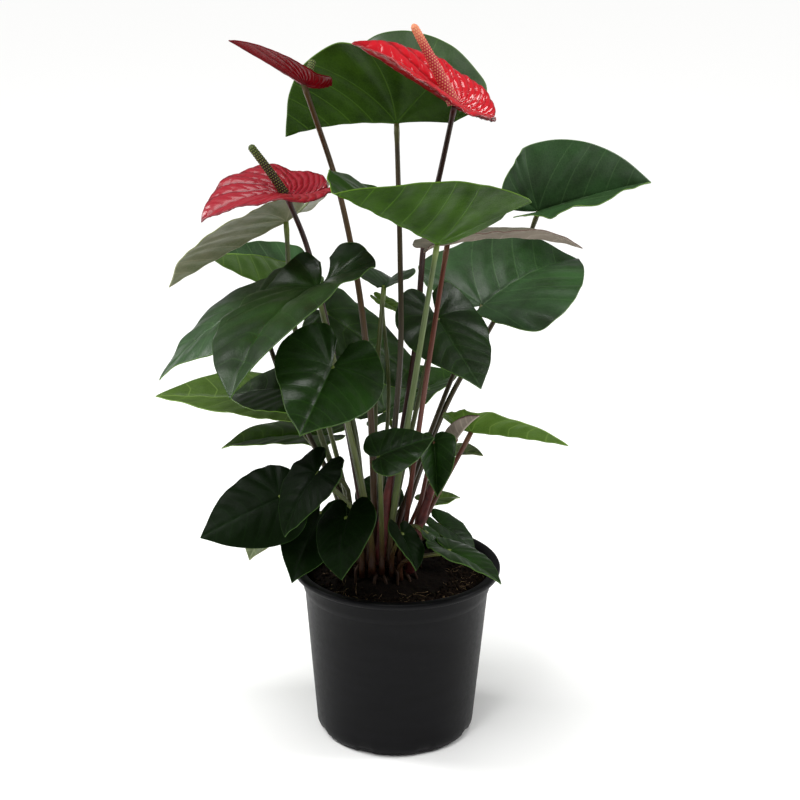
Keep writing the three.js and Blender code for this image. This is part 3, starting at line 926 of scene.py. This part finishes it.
@dataclass
class Crown:
    """The short rough stem that all leaves and flowers grow from. flank is the share of its grid above ground."""

    x: float = -14.0
    y: float = 0.0
    radius: float = 31.0
    height: float = 20.0
    foot: float = 134.0
    roots: int = 26
    flank: float = 0.85
    skin: DrySkin = DrySkin("crown_bark", "#140c08", "#35241a", 5.0, relief=1.0)
    root_skin: DrySkin = DrySkin("root_bark", "#23150e", "#51382a", 6.0, roughness=0.7, relief=0.4)

    def top(self, x: float, y: float, radius: float) -> float:
        """Returns the height at which a round foot just clears the crown's domed top."""
        near = max(0.0, math.hypot(x - self.x, y - self.y) - radius) / self.radius
        return self.foot + 0.7 + self.height * math.sqrt(max(0.0, 1 - near * near))

    def build(self) -> None:
        """Builds the crown as a knobbly dome, and the short roots round it."""
        mesh = bmesh.new()

        def place(u: float, v: float) -> Spot:
            """Places a point of the grid on the dome, whose underside is flat."""
            turn = 2 * math.pi * u
            rise = math.radians(90 * min(v / self.flank, 1.0))
            out = self.radius * (math.sin(rise) if v <= self.flank else (1 - v) / (1 - self.flank))
            z = self.height * math.cos(rise) if v <= self.flank else 0.0
            knob = noise.noise(Vector((3 * math.cos(turn), 3 * math.sin(turn), z / 5)))
            size = 1 + 0.16 * knob * (v < self.flank) - 0.1
            out *= size
            point = Vector((self.x + out * math.cos(turn), self.y + out * math.sin(turn), self.foot + 0.4 + z * size))
            return Spot(point, Vector((u, v, 0)))

        add_sheet(mesh, 72, 40, place)
        make_piece(mesh, "crown_stem", [self.skin.material()], ["crown"])
        chance = random.Random(3)
        mesh = bmesh.new()
        for i in range(self.roots):
            self.add_root(mesh, 2 * math.pi * (i + chance.uniform(-0.3, 0.3)) / self.roots, chance)
        make_piece(mesh, "crown_roots", [self.root_skin.material()], ["crown"])

    def add_root(self, mesh: bmesh.types.BMesh, turn: float, chance: random.Random) -> None:
        """Adds one short thick root that leaves the crown's flank and dives into the soil.

        Args:
            mesh: the mesh that takes it.
            turn: which side of the crown it is on, in radians.
            chance: the source of its shape.
        """
        out = chance.uniform(0.55, 0.85) * self.radius
        reach = chance.uniform(5, 12)
        height = self.foot + chance.uniform(10, 17)
        points = []
        for forward, down in ((-6, 2), (0, 0), (0.6 * reach, 3), (reach, 13)):
            turn += chance.uniform(-0.08, 0.08)
            far = out + forward
            points.append(Vector((self.x + far * math.cos(turn), self.y + far * math.sin(turn), height - down)))
        thick = chance.uniform(1.2, 2.3)
        add_tube(mesh, through(points, 14), lambda u, t: thick * (1.1 - 0.5 * t), 10)


@dataclass
class Foliage:
    """All leaves with their stalks.

    A leaf longer than large has a blade and a stalk of its own in the CAD. grids gives the faces round a blade and
    out to its margin, for blades longer than each length. foot_swell and neck_swell are how much thicker a stalk
    gets at its ends and over what length, and flush how red its foot is and how far up the red reaches.
    """

    crown: Crown
    leaves: tuple[Leaf, ...]
    thickness: float = 0.75
    large: float = 94.0
    grids: tuple[tuple[float, tuple[int, int]], ...] = ((75, (176, 44)), (45, (112, 26)), (0, (64, 16)))
    foot_swell: tuple[float, float] = (0.9, 14)
    neck_swell: tuple[float, float] = (0.45, 5)
    flush: tuple[float, float] = (0.85, 42)
    tip_radius: float = 1.9
    tones: dict[Tone, list[bpy.types.Material]] = field(default_factory=dict)
    barks: dict[Bark, bpy.types.Material] = field(default_factory=dict)

    def faces_of(self, tone: Tone) -> list[bpy.types.Material]:
        """Returns the materials of a tone's upper and under face, made once."""
        if tone not in self.tones:
            self.tones[tone] = [skin.material() for skin in tone.value]
        return self.tones[tone]

    def bark_of(self, bark: Bark) -> bpy.types.Material:
        """Returns the material of a bark, made once."""
        if bark not in self.barks:
            self.barks[bark] = bark.value.material()
        return self.barks[bark]

    def stalk(self, plant: Leaf | Spathe, name: str, slot: str, node: str, gap: float) -> None:
        """Builds a stalk from the crown to the underside of a blade.

        Args:
            plant: the leaf or spathe that it carries.
            name: the piece's name.
            slot: its material slot, which is not used.
            node: the CAD node that it stands for.
            gap: how far under the blade's middle it ends.
        """
        x, y = plant.foot
        z = self.crown.top(x, y, plant.radius)
        end = Vector(plant.at) - plant.up() * gap
        rise = min((plant.at[2] - z) / 4, 18)
        points = [Vector((x, y, z - 4)), Vector((x, y, z + rise)), *(Vector(p) for p in plant.via), end]
        span = (end - points[0]).length
        path = through(points, max(14, round(span / 7)))
        tip = min(self.tip_radius, plant.radius)

        def radius(u: float, t: float) -> float:
            """Radius of the stalk: a swollen foot, a slim stem and a slightly thicker neck."""
            size = plant.radius + (tip - plant.radius) * t
            swell, length = self.foot_swell
            size += swell * math.exp(-((t * span / length) ** 2))
            swell, length = self.neck_swell
            size += swell * math.exp(-((((1 - t) * span - length) / length) ** 2))
            return size * (1 + 0.035 * math.cos(4 * math.pi * u))

        def redness(u: float, t: float) -> float:
            """How red the stalk is, which fades over its lowest part."""
            return self.flush[0] * math.exp(-((t * span / self.flush[1]) ** 2))

        mesh = bmesh.new()
        add_tube(mesh, path, radius, 14, redness)
        make_piece(mesh, name, [self.bark_of(plant.bark)], [node])

    def build(self) -> None:
        """Builds every leaf."""
        for leaf in self.leaves:
            big = leaf.length > self.large
            slot = "young_leaf" if leaf.young else "leaf"
            grid = next(faces for length, faces in self.grids if leaf.length > length)
            piece = make_piece(
                leaf.sheet(*grid),
                f"{leaf.name}_heart",
                self.faces_of(leaf.tone),
                [f"{leaf.name}_blade" if big else leaf.name],
                leaf.up(),
            )
            thicken(piece, self.thickness, 1)
            stalk_node = f"{leaf.name}_stalk" if big else leaf.name
            self.stalk(leaf, f"{leaf.name}_petiole", "stalk" if big else slot, stalk_node, 0.2)


@dataclass
class Flowers:
    """The flowers: each a quilted red spathe, a spadix with rings of beads, and a stalk."""

    foliage: Foliage
    flowers: tuple[Spathe, ...]
    thickness: float = 0.9
    beads_in_ring: int = 12
    ring_gap: float = 2.0
    bead_height: float = 0.42
    fresh: SpadixFlesh = SpadixFlesh("spadix_fresh", "#b03640", "#d98263", "#e8c27c")
    aged: SpadixFlesh = SpadixFlesh("spadix_aged", "#2b1612", "#34421a", "#8b9a40")

    def spadix(self, flower: Spathe, material: bpy.types.Material, slot: str) -> None:
        """Builds one spadix as a blunt spike set with rows of beads.

        Args:
            flower: the flower that it belongs to.
            material: its material.
            slot: its material slot, which is not used.
        """
        path = flower.spadix_path()
        length = sum((b - a).length for a, b in zip(path, path[1:]))
        thick, thin = flower.spadix_radius
        rings = max(8, round(length / self.ring_gap))

        def bead(u: float, t: float) -> float:
            """How near a point is to the middle of a bead: 1 on it, 0 between beads."""
            best = 9.0
            for ring in (math.floor(t * rings), math.floor(t * rings) + 1):
                turn = u * self.beads_in_ring + 0.5 * (ring % 2)
                best = min(best, math.hypot(turn - round(turn), t * rings - ring))
            return max(0.0, 1 - best / 0.62)

        def radius(u: float, t: float) -> float:
            """Radius of the spike with its beads and its rounded tip."""
            size = thick + (thin - thick) * t
            cap = max(0.0, (t - 0.94) / 0.06)
            raised = self.bead_height * smooth_step(0, 0.8, bead(u, t))
            return size * math.sqrt(max(0.02, 1 - cap * cap)) + raised - 0.15

        mesh = bmesh.new()
        add_tube(mesh, path, radius, 108, bead)
        make_piece(mesh, f"{flower.name}_spadix", [material], [f"spadix_{flower.name[-1]}"])

    def build(self) -> None:
        """Builds every flower."""
        spikes = {False: self.fresh.material(), True: self.aged.material()}
        for flower in self.flowers:
            number = flower.name[-1]
            skins = [wax.material() for wax in flower.wax.value]
            piece = make_piece(
                flower.sheet(216, 64), f"{flower.name}_spathe", skins, [f"spathe_{number}"], flower.up()
            )
            thicken(piece, self.thickness, 1)
            self.spadix(flower, spikes[flower.old], "old_spadix" if flower.old else "spadix")
            self.foliage.stalk(flower, f"{flower.name}_stalk", "peduncle", f"flower_stalk_{number}", 0.4)


@dataclass(frozen=True)
class Sheath:
    """One papery sheath: a narrow scroll that stands round the stalks' feet and ends in a point."""

    name: str
    foot: tuple[float, float]
    top: tuple[float, float, float]
    radius: float


@dataclass
class Sheaths:
    """The papery sheaths between the stalks."""

    crown: Crown
    sheaths: tuple[Sheath, ...]
    thickness: float = 0.35
    rows: int = 59
    skin: DrySkin = DrySkin("sheath_paper", "#3e1414", "#77322c", 14.0, roughness=0.55, relief=0.25, specular=0.35)

    def build(self) -> None:
        """Builds every sheath as a scroll that opens along one side."""
        material = self.skin.material()
        for sheath in self.sheaths:
            x, y = sheath.foot
            z = self.crown.top(x, y, sheath.radius)
            top = Vector(sheath.top)
            middle = Vector(((x + top.x) / 2 - 1, (y + top.y) / 2, z + 0.55 * (top.z - z)))
            path = through([Vector((x, y, z - 3)), middle, top], self.rows + 1)
            mesh = bmesh.new()

            def place(u: float, v: float, path: list[Vector] = path, wide: float = sheath.radius) -> Spot:
                """Places a point of the grid on the scroll."""
                centre = path[round(v * self.rows)]
                size = wide * (1.15 - 0.15 * v) * math.sqrt(max(0.004, 1 - v**3))
                turn = math.radians(-60) + math.radians(300 - 90 * v) * (u - 0.5)
                ripple = 1 + 0.12 * noise.noise(Vector((u * 3, v * 9, wide)))
                out = Vector((math.cos(turn), math.sin(turn), 0)) * size * ripple
                return Spot(centre + out, Vector((u, v, 0)))

            add_sheet(mesh, 24, self.rows, place)
            piece = make_piece(mesh, f"{sheath.name}_scroll", [material], [sheath.name], Vector((0, -1, 0)))
            thicken(piece, self.thickness, 0)


@dataclass
class Pot:
    """The round tapered nursery pot, turned from one profile, with a stepped collar and a rolled lip."""

    height: float = 145.0
    rim: float = 85.0
    lip: float = 5.0
    collar: float = 77.5
    shoulder: float = 124.0
    body_top: float = 75.3
    base: float = 64.5
    corner: float = 7.0
    wall: float = 1.6
    floor: float = 2.4
    drains: int = 8
    drain_radius: float = 3.5
    drain_circle: float = 50.0
    steps: int = 256
    slot_depth: float = 1.3
    slot_top: float = 11.0
    skin: MouldedPolypropylene = MouldedPolypropylene()

    def body(self, z: float) -> float:
        """Returns the outside radius of the wall at a height."""
        return self.base + (self.body_top - self.base) * min(z / self.shoulder, 1.0)

    def profile(self) -> list[tuple[float, float]]:
        """Returns the wall's section, from the middle of the underside round to the middle of the floor."""
        under = self.height - self.lip
        corner = [
            (
                self.base - self.corner + self.corner * math.sin(math.radians(a)),
                self.corner - self.corner * math.cos(math.radians(a)),
            )
            for a in range(0, 90, 15)
        ]
        sides = [(self.body(z), z) for z in (self.corner, 12, 20, 45, 70, 95, self.shoulder - 1)]
        return [
            (0.0, 1.2),
            (30.0, 1.2),
            (32.0, 0.4),
            (self.base - self.corner - 3, 0.0),
            *corner,
            *sides,
            (self.body_top + 0.2, self.shoulder),
            (self.collar - 1.0, self.shoulder + 2.4),
            (self.collar - 0.6, self.shoulder + 5),
            (self.collar, under - 2.5),
            (self.collar + 0.6, under - 0.8),
            (self.collar + 2, under),
            (self.rim - 1.4, under),
            (self.rim - 0.5, under + 0.6),
            (self.rim, under + 2.0),
            (self.rim - 0.1, self.height - 1.6),
            (self.rim - 0.7, self.height - 0.4),
            (self.rim - 1.8, self.height),
            (self.collar + 2.5, self.height),
            (self.collar, self.height - 0.8),
            (self.collar - self.wall, self.height - 2.6),
            (self.collar - self.wall - 0.6, self.shoulder + 3),
            (self.body_top - self.wall, self.shoulder),
            (self.body(self.corner) - self.wall, self.corner),
            (self.base - self.corner, self.floor),
            (0.0, self.floor),
        ]

    def build(self) -> None:
        """Turns the pot, presses in the slots between its small feet, then cuts its drain holes."""
        mesh = bmesh.new()
        ring = [mesh.verts.new((r * MM, 0, z * MM)) for r, z in self.profile()]
        edges = [mesh.edges.new(pair) for pair in zip(ring, ring[1:])]
        bmesh.ops.spin(
            mesh,
            geom=[*ring, *edges],
            cent=(0, 0, 0),
            axis=(0, 0, 1),
            angle=2 * math.pi,
            steps=self.steps,
            use_merge=True,
        )
        for vertex in mesh.verts:
            self.press_slot(vertex)
        piece = make_piece(mesh, "nursery_pot", [self.skin.material()], ["pot"])
        cutters = bpy.data.meshes.new("drain_cutters")
        holes = bmesh.new()
        for i in range(self.drains):
            turn = 2 * math.pi * (i + 0.5) / self.drains
            spot = Vector((math.cos(turn), math.sin(turn), 0)) * self.drain_circle * MM
            bmesh.ops.create_cone(
                holes,
                cap_ends=True,
                segments=32,
                radius1=self.drain_radius * MM,
                radius2=self.drain_radius * MM,
                depth=4 * self.floor * MM,
                matrix=Matrix.Translation(spot),
            )
        holes.to_mesh(cutters)
        holes.free()
        cutter = bpy.data.objects.new("drain_cutters", cutters)
        bpy.context.scene.collection.objects.link(cutter)
        drill = piece.modifiers.new("drain_holes", "BOOLEAN")
        drill.operation = "DIFFERENCE"
        drill.solver = "EXACT"
        drill.object = cutter
        bpy.context.view_layer.update()
        drilled = bpy.data.meshes.new_from_object(piece.evaluated_get(bpy.context.evaluated_depsgraph_get()))
        piece.modifiers.clear()
        piece.data = drilled
        bpy.data.objects.remove(cutter)

    def press_slot(self, vertex: bmesh.types.BMVert) -> None:
        """Moves a point of the bottom corner inwards where one of the eight slots between the feet is."""
        z = vertex.co.z / MM
        out = vertex.co.xy.length / MM
        if z > self.slot_top or out < self.base - self.corner - 4:
            return
        turn = math.atan2(vertex.co.y, vertex.co.x) * self.drains / (2 * math.pi)
        off = abs(turn - 0.5 - round(turn - 0.5)) * 2 * math.pi / self.drains * out
        press = (1 - smooth_step(4.0, 8.0, off)) * (1 - smooth_step(3, 10, z))
        vertex.co.xy *= (out - self.slot_depth * press) / out


@dataclass
class Soil:
    """Damp peat, heaped around the crown, with crumbs and pale fibres on top.

    edge and side are the shares of its grid that lie within its top, and within its top and side.
    """

    crown: Crown
    top: float = 132.0
    mound: float = 2.0
    reach: float = 74.6
    bottom: float = 4.0
    heap: float = 11.0
    crumbs: int = 900
    fibres: int = 150
    edge: float = 0.9
    side: float = 0.96
    peat: DrySkin = DrySkin("peat", "#080503", "#1c130d", 3.0, roughness=0.95, relief=1.6, specular=0.1)
    crumb: DrySkin = DrySkin("peat_crumb", "#0b0704", "#2b1e15", 2.0, roughness=0.95, relief=0.5, specular=0.1)
    fibre: DrySkin = DrySkin("peat_fibre", "#4f3d2a", "#9a8262", 8.0, roughness=0.8, relief=0.1)

    def surface(self, x: float, y: float) -> float:
        """Returns the height of the soil at a place."""
        out = math.hypot(x, y)
        dome = self.top + self.mound * (1 - smooth_step(20, 70, out)) - 2.6 * smooth_step(64, 74, out)
        dome += self.heap * (1 - smooth_step(16, 44, math.hypot(x - self.crown.x, y - self.crown.y)))
        lumps = sum(noise.noise(Vector((x / size, y / size, size))) * size / 6 for size in (12.0, 5.5, 2.6))
        return dome + lumps

    def scatter(self, chance: random.Random) -> tuple[float, float]:
        """Picks a place on the soil: most are towards the front and the right of the rim."""
        turn = math.radians(chance.gauss(-65, 60))
        out = (self.reach - 3) * chance.uniform(0.3, 0.99) ** 0.4
        return out * math.cos(turn), out * math.sin(turn)

    def build(self) -> None:
        """Builds the soil, its crumbs and its fibres."""
        mesh = bmesh.new()

        def place(u: float, v: float) -> Spot:
            """Places a point of the grid on the soil's top, side or underside."""
            turn = 2 * math.pi * u
            out = self.reach * (min(v / self.edge, 1.0) if v < self.side else (1 - v) / (1 - self.side))
            x, y = out * math.cos(turn), out * math.sin(turn)
            if v <= self.edge:
                z = self.surface(x, y)
            else:
                z, x, y = self.bottom + (self.top - 12 - self.bottom) * (v < 0.94), x * 0.83, y * 0.83
            return Spot(Vector((x, y, z)), Vector((u, v, 0)))

        add_sheet(mesh, 220, 100, place)
        make_piece(mesh, "peat_soil", [self.peat.material()], ["soil"])
        chance = random.Random(7)
        mesh = bmesh.new()
        for _ in range(self.crumbs):
            x, y = self.scatter(chance)
            size = chance.uniform(0.7, 2.8) * MM
            spot = Vector((x, y, self.surface(x, y) + 0.2)) * MM
            lump = Matrix.Translation(spot) @ Matrix.Rotation(chance.uniform(0, 6), 4, (chance.random(), 1, 0.5))
            lump = lump @ Matrix.Diagonal((size, size * chance.uniform(0.5, 0.9), size * 0.6, 1))
            bmesh.ops.create_icosphere(mesh, subdivisions=1, radius=1.0, matrix=lump)
        make_piece(mesh, "peat_crumbs", [self.crumb.material()], ["soil"])
        mesh = bmesh.new()
        for _ in range(self.fibres):
            self.add_fibre(mesh, chance)
        make_piece(mesh, "peat_fibres", [self.fibre.material()], ["soil"])

    def add_fibre(self, mesh: bmesh.types.BMesh, chance: random.Random) -> None:
        """Adds one curved fibre that lies on the soil.

        Args:
            mesh: the mesh that takes it.
            chance: the source of its place and shape.
        """
        x, y = self.scatter(chance)
        heading = chance.uniform(0, 2 * math.pi)
        length = chance.uniform(4, 15)
        bow = chance.uniform(-0.5, 0.5)
        points = []
        for k in range(5):
            heading += bow / 2
            x += math.cos(heading) * length / 5
            y += math.sin(heading) * length / 5
            pull = min(1.0, (self.reach - 3) / max(math.hypot(x, y), 1e-6))
            x, y = x * pull, y * pull
            points.append(Vector((x, y, self.surface(x, y) + chance.uniform(0.2, 1.2))))
        thick = chance.uniform(0.14, 0.4)
        add_tube(mesh, through(points, 9), lambda u, t: thick * (1.1 - 0.6 * t), 5)


# ---------------------------------------- What stands where ----------------------------------------

LEAVES = (
    Leaf(
        "leaf_01", (-4, 8, 507), 150, -2, 105, 155, fold=(68, 68), lift=-15, lobe=0.6,
        foot=(-10, -8), via=((1, -32, 335), (0, -22, 405)), tone=Tone.BRIGHT, bark=Bark.BROWN,
    ),
    Leaf(
        "leaf_02", (27, -90, 437), 235, 26, 140, 165, fold=(35, 25), curl=5, droop=0, lift=50, lobe=0.3,
        foot=(-6, -16), via=((14, -60, 335),), radius=3, tone=Tone.BRIGHT, bark=Bark.GREEN,
    ),
    Leaf(
        "leaf_03", (117, 150, 406), 15, 15, 108, 115, roll=45, fold=(45, 60), curl=10, droop=15, lift=35,
        foot=(4, 16), via=((40, 90, 250), (90, 140, 330)), tone=Tone.SHEEN, bark=Bark.BROWN,
    ),
    Leaf(
        "leaf_04", (36, -20, 419), 15, 10, 112, 90, fold=(10, 30), droop=30, lift=-10, lobe=0.2,
        foot=(6, -8), via=((22, -46, 325),), radius=2.2, tone=Tone.MAUVE, young=True, bark=Bark.RUSSET,
    ),
    Leaf(
        "leaf_05", (68, 68, 346), 42, 25, 115, 150, fold=(35, 15), curl=35, droop=30, lift=30, lobe=0.25,
        foot=(0, 8), via=((34, 54, 260),), radius=2.2, tone=Tone.SHEEN, bark=Bark.BROWN,
    ),
    Leaf(
        "leaf_06", (30, 5, 353), -50, -40, 70, 85, fold=(10, 10), curl=25, droop=0, lift=30, lobe=0.4,
        foot=(-4, 16), via=((14, 18, 270),), radius=2.2,
    ),
    Leaf(
        "leaf_07", (-13, 50, 366), 80, 5, 40, 56, fold=(35, 35),
        foot=(-18, 0), via=((-18, 0, 298),), radius=2,
    ),
    Leaf(
        "leaf_08", (-62, -80, 400), 238, 1, 145, 115, roll=20, curl=25, droop=45, lift=95, lobe=0.28,
        foot=(-22, -16), via=((-46, -82, 330),), radius=2.8,
    ),
    Leaf(
        "leaf_09", (-111, -35, 377), 195, -25, 97, 105, fold=(5, 5), droop=25,
        foot=(-34, 0), via=((-92, 9, 295),), radius=2.2, tone=Tone.SHEEN, bark=Bark.BROWN,
    ),
    Leaf(
        "leaf_10", (-89, 0, 431), 165, -30, 115, 120, roll=10, fold=(20, 20), droop=0, lift=30, lobe=0.4,
        foot=(-32, 8), via=((-62, 8, 250), (-84, 6, 350)), tone=Tone.PALE, young=True,
    ),
    Leaf(
        "leaf_11", (-84, 90, 347), 190, 15, 88, 105, fold=(50, 45), droop=-20, lobe=0.2,
        foot=(-28, 16), via=((-40, 72, 250),), tone=Tone.SHEEN,
    ),
    Leaf(
        "leaf_12", (-49, -120, 351), -105, -20, 82, 84, roll=-20, fold=(10, 20), droop=0, lift=25, lobe=0.4,
        foot=(-20, -24), via=((-34, -92, 280),),
    ),
    Leaf(
        "leaf_13", (-60, 45, 345), 0, -35, 108, 90, roll=25, fold=(0, 0), droop=5, lobe=0.12,
        foot=(-24, 8), via=((-44, 40, 280),), tone=Tone.BRIGHT,
    ),
    Leaf(
        "leaf_14", (-87, 70, 261), 175, 0, 118, 100, fold=(10, 20), droop=0, lobe=0.25,
        foot=(-40, 8), via=((-64, 16, 232), (-82, 48, 246)), radius=2.2, tone=Tone.FRESH,
    ),
    Leaf(
        "leaf_15", (-62, -50, 311), 155, -5, 85, 90, roll=-15, lobe=0.3,
        foot=(-34, -8), via=((-46, -14, 230),), radius=2.2, tone=Tone.BRIGHT,
    ),
    Leaf(
        "leaf_16", (-64, 70, 230), 175, 0, 88, 75, lobe=0.25,
        foot=(-36, 16), radius=2, tone=Tone.FRESH, young=True,
    ),
    Leaf(
        "leaf_17", (-92, -60, 224), 195, -20, 70, 70, roll=-45, lobe=0.25, fold=(0, 0), curl=30,
        foot=(-38, -16), via=((-42, -22, 222), (-64, -38, 234)), radius=2, tone=Tone.DEEP,
    ),
    Leaf(
        "leaf_18", (-62, -80, 253), -145, -40, 56, 60, fold=(10, 10), droop=35, lift=0,
        foot=(-30, -16), via=((-32, -46, 205),), radius=2, tone=Tone.DEEP,
    ),
    Leaf(
        "leaf_19", (-62, -30, 200), -105, -20, 72, 58, roll=-15, lobe=0.25,
        foot=(-42, -8), radius=2, tone=Tone.DEEP,
    ),
    Leaf(
        "leaf_20", (-39, -90, 220), -105, -35, 50, 54, roll=20, fold=(5, 5), droop=35, lift=0,
        foot=(-28, -24), radius=1.8, tone=Tone.DEEP,
    ),
    Leaf("leaf_21", (-100, -20, 190), 235, -30, 40, 40, foot=(-42, 0), radius=1.6, tone=Tone.PALE, young=True),
    Leaf(
        "leaf_22", (-14, -90, 271), 15, 20, 46, 42, roll=35, fold=(10, 10), lobe=0.2,
        foot=(-12, -24), radius=2,
    ),
    Leaf(
        "leaf_23", (28, -30, 262), -80, -55, 45, 40, fold=(50, 50), lobe=0.15,
        foot=(13, -9), radius=1.8, bark=Bark.RUSSET,
    ),
    Leaf(
        "leaf_24", (59, 10, 256), -15, 0, 80, 66, fold=(0, 60), droop=5, lift=30, lobe=0.35,
        foot=(15, -2), radius=2, tone=Tone.FRESH, bark=Bark.RUSSET,
    ),
    Leaf(
        "leaf_25", (46, -25, 262), -25, 60, 30, 22, fold=(60, 60), curl=-40, lobe=0.2,
        foot=(8, 8), radius=1.4, tone=Tone.MAUVE, young=True, bark=Bark.RUSSET,
    ),
    Leaf("leaf_26", (36, 30, 230), -20, 15, 36, 40, foot=(9, 18), radius=1.6, tone=Tone.PALE, young=True),
    Leaf("leaf_27", (27, 30, 188), 30, 5, 30, 32, foot=(15, 5), radius=1.6, tone=Tone.FRESH),
    Leaf("leaf_28", (42, -60, 181), -30, -10, 50, 48, roll=-10, foot=(3, -24), radius=1.8),
    Leaf("leaf_29", (36, 20, 171), -20, -25, 38, 42, foot=(12, 12), radius=1.6),
    Leaf("leaf_30", (24, -44, 189), -15, -35, 18, 22, foot=(2, -16), via=((12, -30, 190),), radius=1.4),
    Leaf("leaf_31", (4, -60, 195), -60, -30, 34, 36, roll=-25, foot=(-4, -24), radius=1.6, tone=Tone.DEEP),
    Leaf("leaf_32", (-15, 42, 182), 95, 30, 36, 42, foot=(-14, 24), radius=2),
    Leaf(
        "leaf_33", (-11, 90, 245), 40, 20, 88, 90, fold=(30, 30), foot=(-4, 24), via=((12, 50, 200),), radius=2,
        tone=Tone.BRIGHT,
    ),
    Leaf(
        "leaf_34", (-15, 64, 350), -20, -20, 24, 22, lobe=0.4,
        foot=(-16, 8), via=((-8, 0, 290),), radius=1.6, tone=Tone.FRESH, young=True,
    ),
)

FLOWERS = (
    Spathe(
        "flower_1", (38, -85, 538), 180, 33, 86, 76, fold=(20, 40), curl=25, droop=0, lift=20, lobe=0.36,
        spadix_tip=(7, -87, 596), spadix_radius=(4.6, 2.6), old=False,
        foot=(-8, 8), via=((13, 32, 320), (19, 32, 410), (29, -26, 474)),
    ),
    Spathe(
        "flower_2", (-71, -70, 550), 180, 30, 62, 46, roll=18, fold=(30, 15), droop=0, lift=60, lobe=0.36,
        spadix_tip=(-65, -58, 565), spadix_radius=(3.2, 2.4), quilt=0.25, wave=0.2, wax=Wax.RIPE, bark=Bark.UMBER,
        foot=(-18, -8), via=((-27, -32, 352), (-45, -18, 450)),
    ),
    Spathe(
        "flower_3", (-84, -70, 467), 195, 8, 68, 88, fold=(15, 25), curl=15, droop=45, lift=30,
        spadix_tip=(-111, -68, 504), spadix_radius=(3.3, 2.7), quilt=0.7, wax=Wax.FADED,
        foot=(-26, -8), via=((-50, 2, 310), (-70, -20, 410)), radius=2.8,
    ),
)

SHEATHS = (
    Sheath("sheath_1", (-14, -16), (-3, -26, 242), 4),
    Sheath("sheath_2", (10, -16), (36, -36, 250), 3.4),
    Sheath("sheath_3", (-26, 0), (-34, -2, 190), 2.6),
)


@dataclass
class Studio:
    """A plain pale floor, plain soft light, and the camera. floor_side is in metres."""

    floor_side: float = 40.0
    sky: float = 0.2
    camera_at: tuple[float, float, float] = (1.1, -1513.9, 796.0)
    tilt: float = 71.37
    lean: float = 0.67
    lens: float = 90.0
    sensor: float = 36.0

    def build(self) -> None:
        """Builds the floor, the lights and the camera."""
        mesh = bmesh.new()
        bmesh.ops.create_grid(mesh, x_segments=1, y_segments=1, size=self.floor_side / 2)
        data = bpy.data.meshes.new("floor")
        mesh.to_mesh(data)
        mesh.free()
        data.materials.append(MattPaper().material())
        floor = bpy.data.objects.new("floor", data)
        floor.location.z = -0.0004
        bpy.context.scene.collection.objects.link(floor)

        world = bpy.data.worlds.new("studio")
        world.use_nodes = True
        background = world.node_tree.nodes["Background"]
        background.inputs["Color"].default_value = linear("#ffffff")
        background.inputs["Strength"].default_value = self.sky
        bpy.context.scene.world = world
        bpy.context.scene.view_settings.view_transform = "Standard"

        self.lamp("SUN", "sky_panel", (-0.25, -0.35, 2.0), 2.65, 0.8)
        self.lamp("AREA", "left_softbox", (-1.3, 0.2, 1.3), 16.0, 0.6)
        self.lamp("AREA", "right_softbox", (1.4, 0.0, 1.1), 12.0, 0.6)
        self.lamp("AREA", "front_softbox", (-0.5, -1.3, 1.6), 6.0, 0.35)

        camera = bpy.data.objects.new("camera", bpy.data.cameras.new("camera"))
        camera.data.lens = self.lens
        camera.data.sensor_width = self.sensor
        turn = Matrix.Rotation(math.radians(self.tilt), 4, "X") @ Matrix.Rotation(math.radians(self.lean), 4, "Z")
        camera.matrix_world = Matrix.Translation(Vector(self.camera_at) * MM) @ turn
        bpy.context.scene.collection.objects.link(camera)
        bpy.context.scene.camera = camera

    def lamp(self, kind: str, name: str, at: tuple[float, float, float], power: float, size: float) -> None:
        """Adds a soft lamp that points at the middle of the plant.

        Args:
            kind: Blender's type of light.
            name: the lamp's name.
            at: where it stands, in metres.
            power: its energy.
            size: its side in metres, or the sun's angle in radians.
        """
        lamp = bpy.data.lights.new(name, kind)
        lamp.energy = power
        if kind == "SUN":
            lamp.angle = size
        else:
            lamp.size = size
        stand = bpy.data.objects.new(name, lamp)
        aim = Vector((0, 0, 0.3)) - Vector(at)
        stand.matrix_world = Matrix.Translation(Vector(at)) @ aim.to_track_quat("-Z", "Y").to_matrix().to_4x4()
        bpy.context.scene.collection.objects.link(stand)


def main() -> None:
    """Builds the plant and its studio."""
    logging.basicConfig(level=logging.INFO, format="%(name)s %(message)s")
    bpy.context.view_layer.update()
    Studio().build()
    Pot().build()
    crown = Crown()
    crown.build()
    Soil(crown).build()
    foliage = Foliage(crown, LEAVES)
    foliage.build()
    Flowers(foliage, FLOWERS).build()
    Sheaths(crown, SHEATHS).build()


if __name__ == "__main__":
    main()
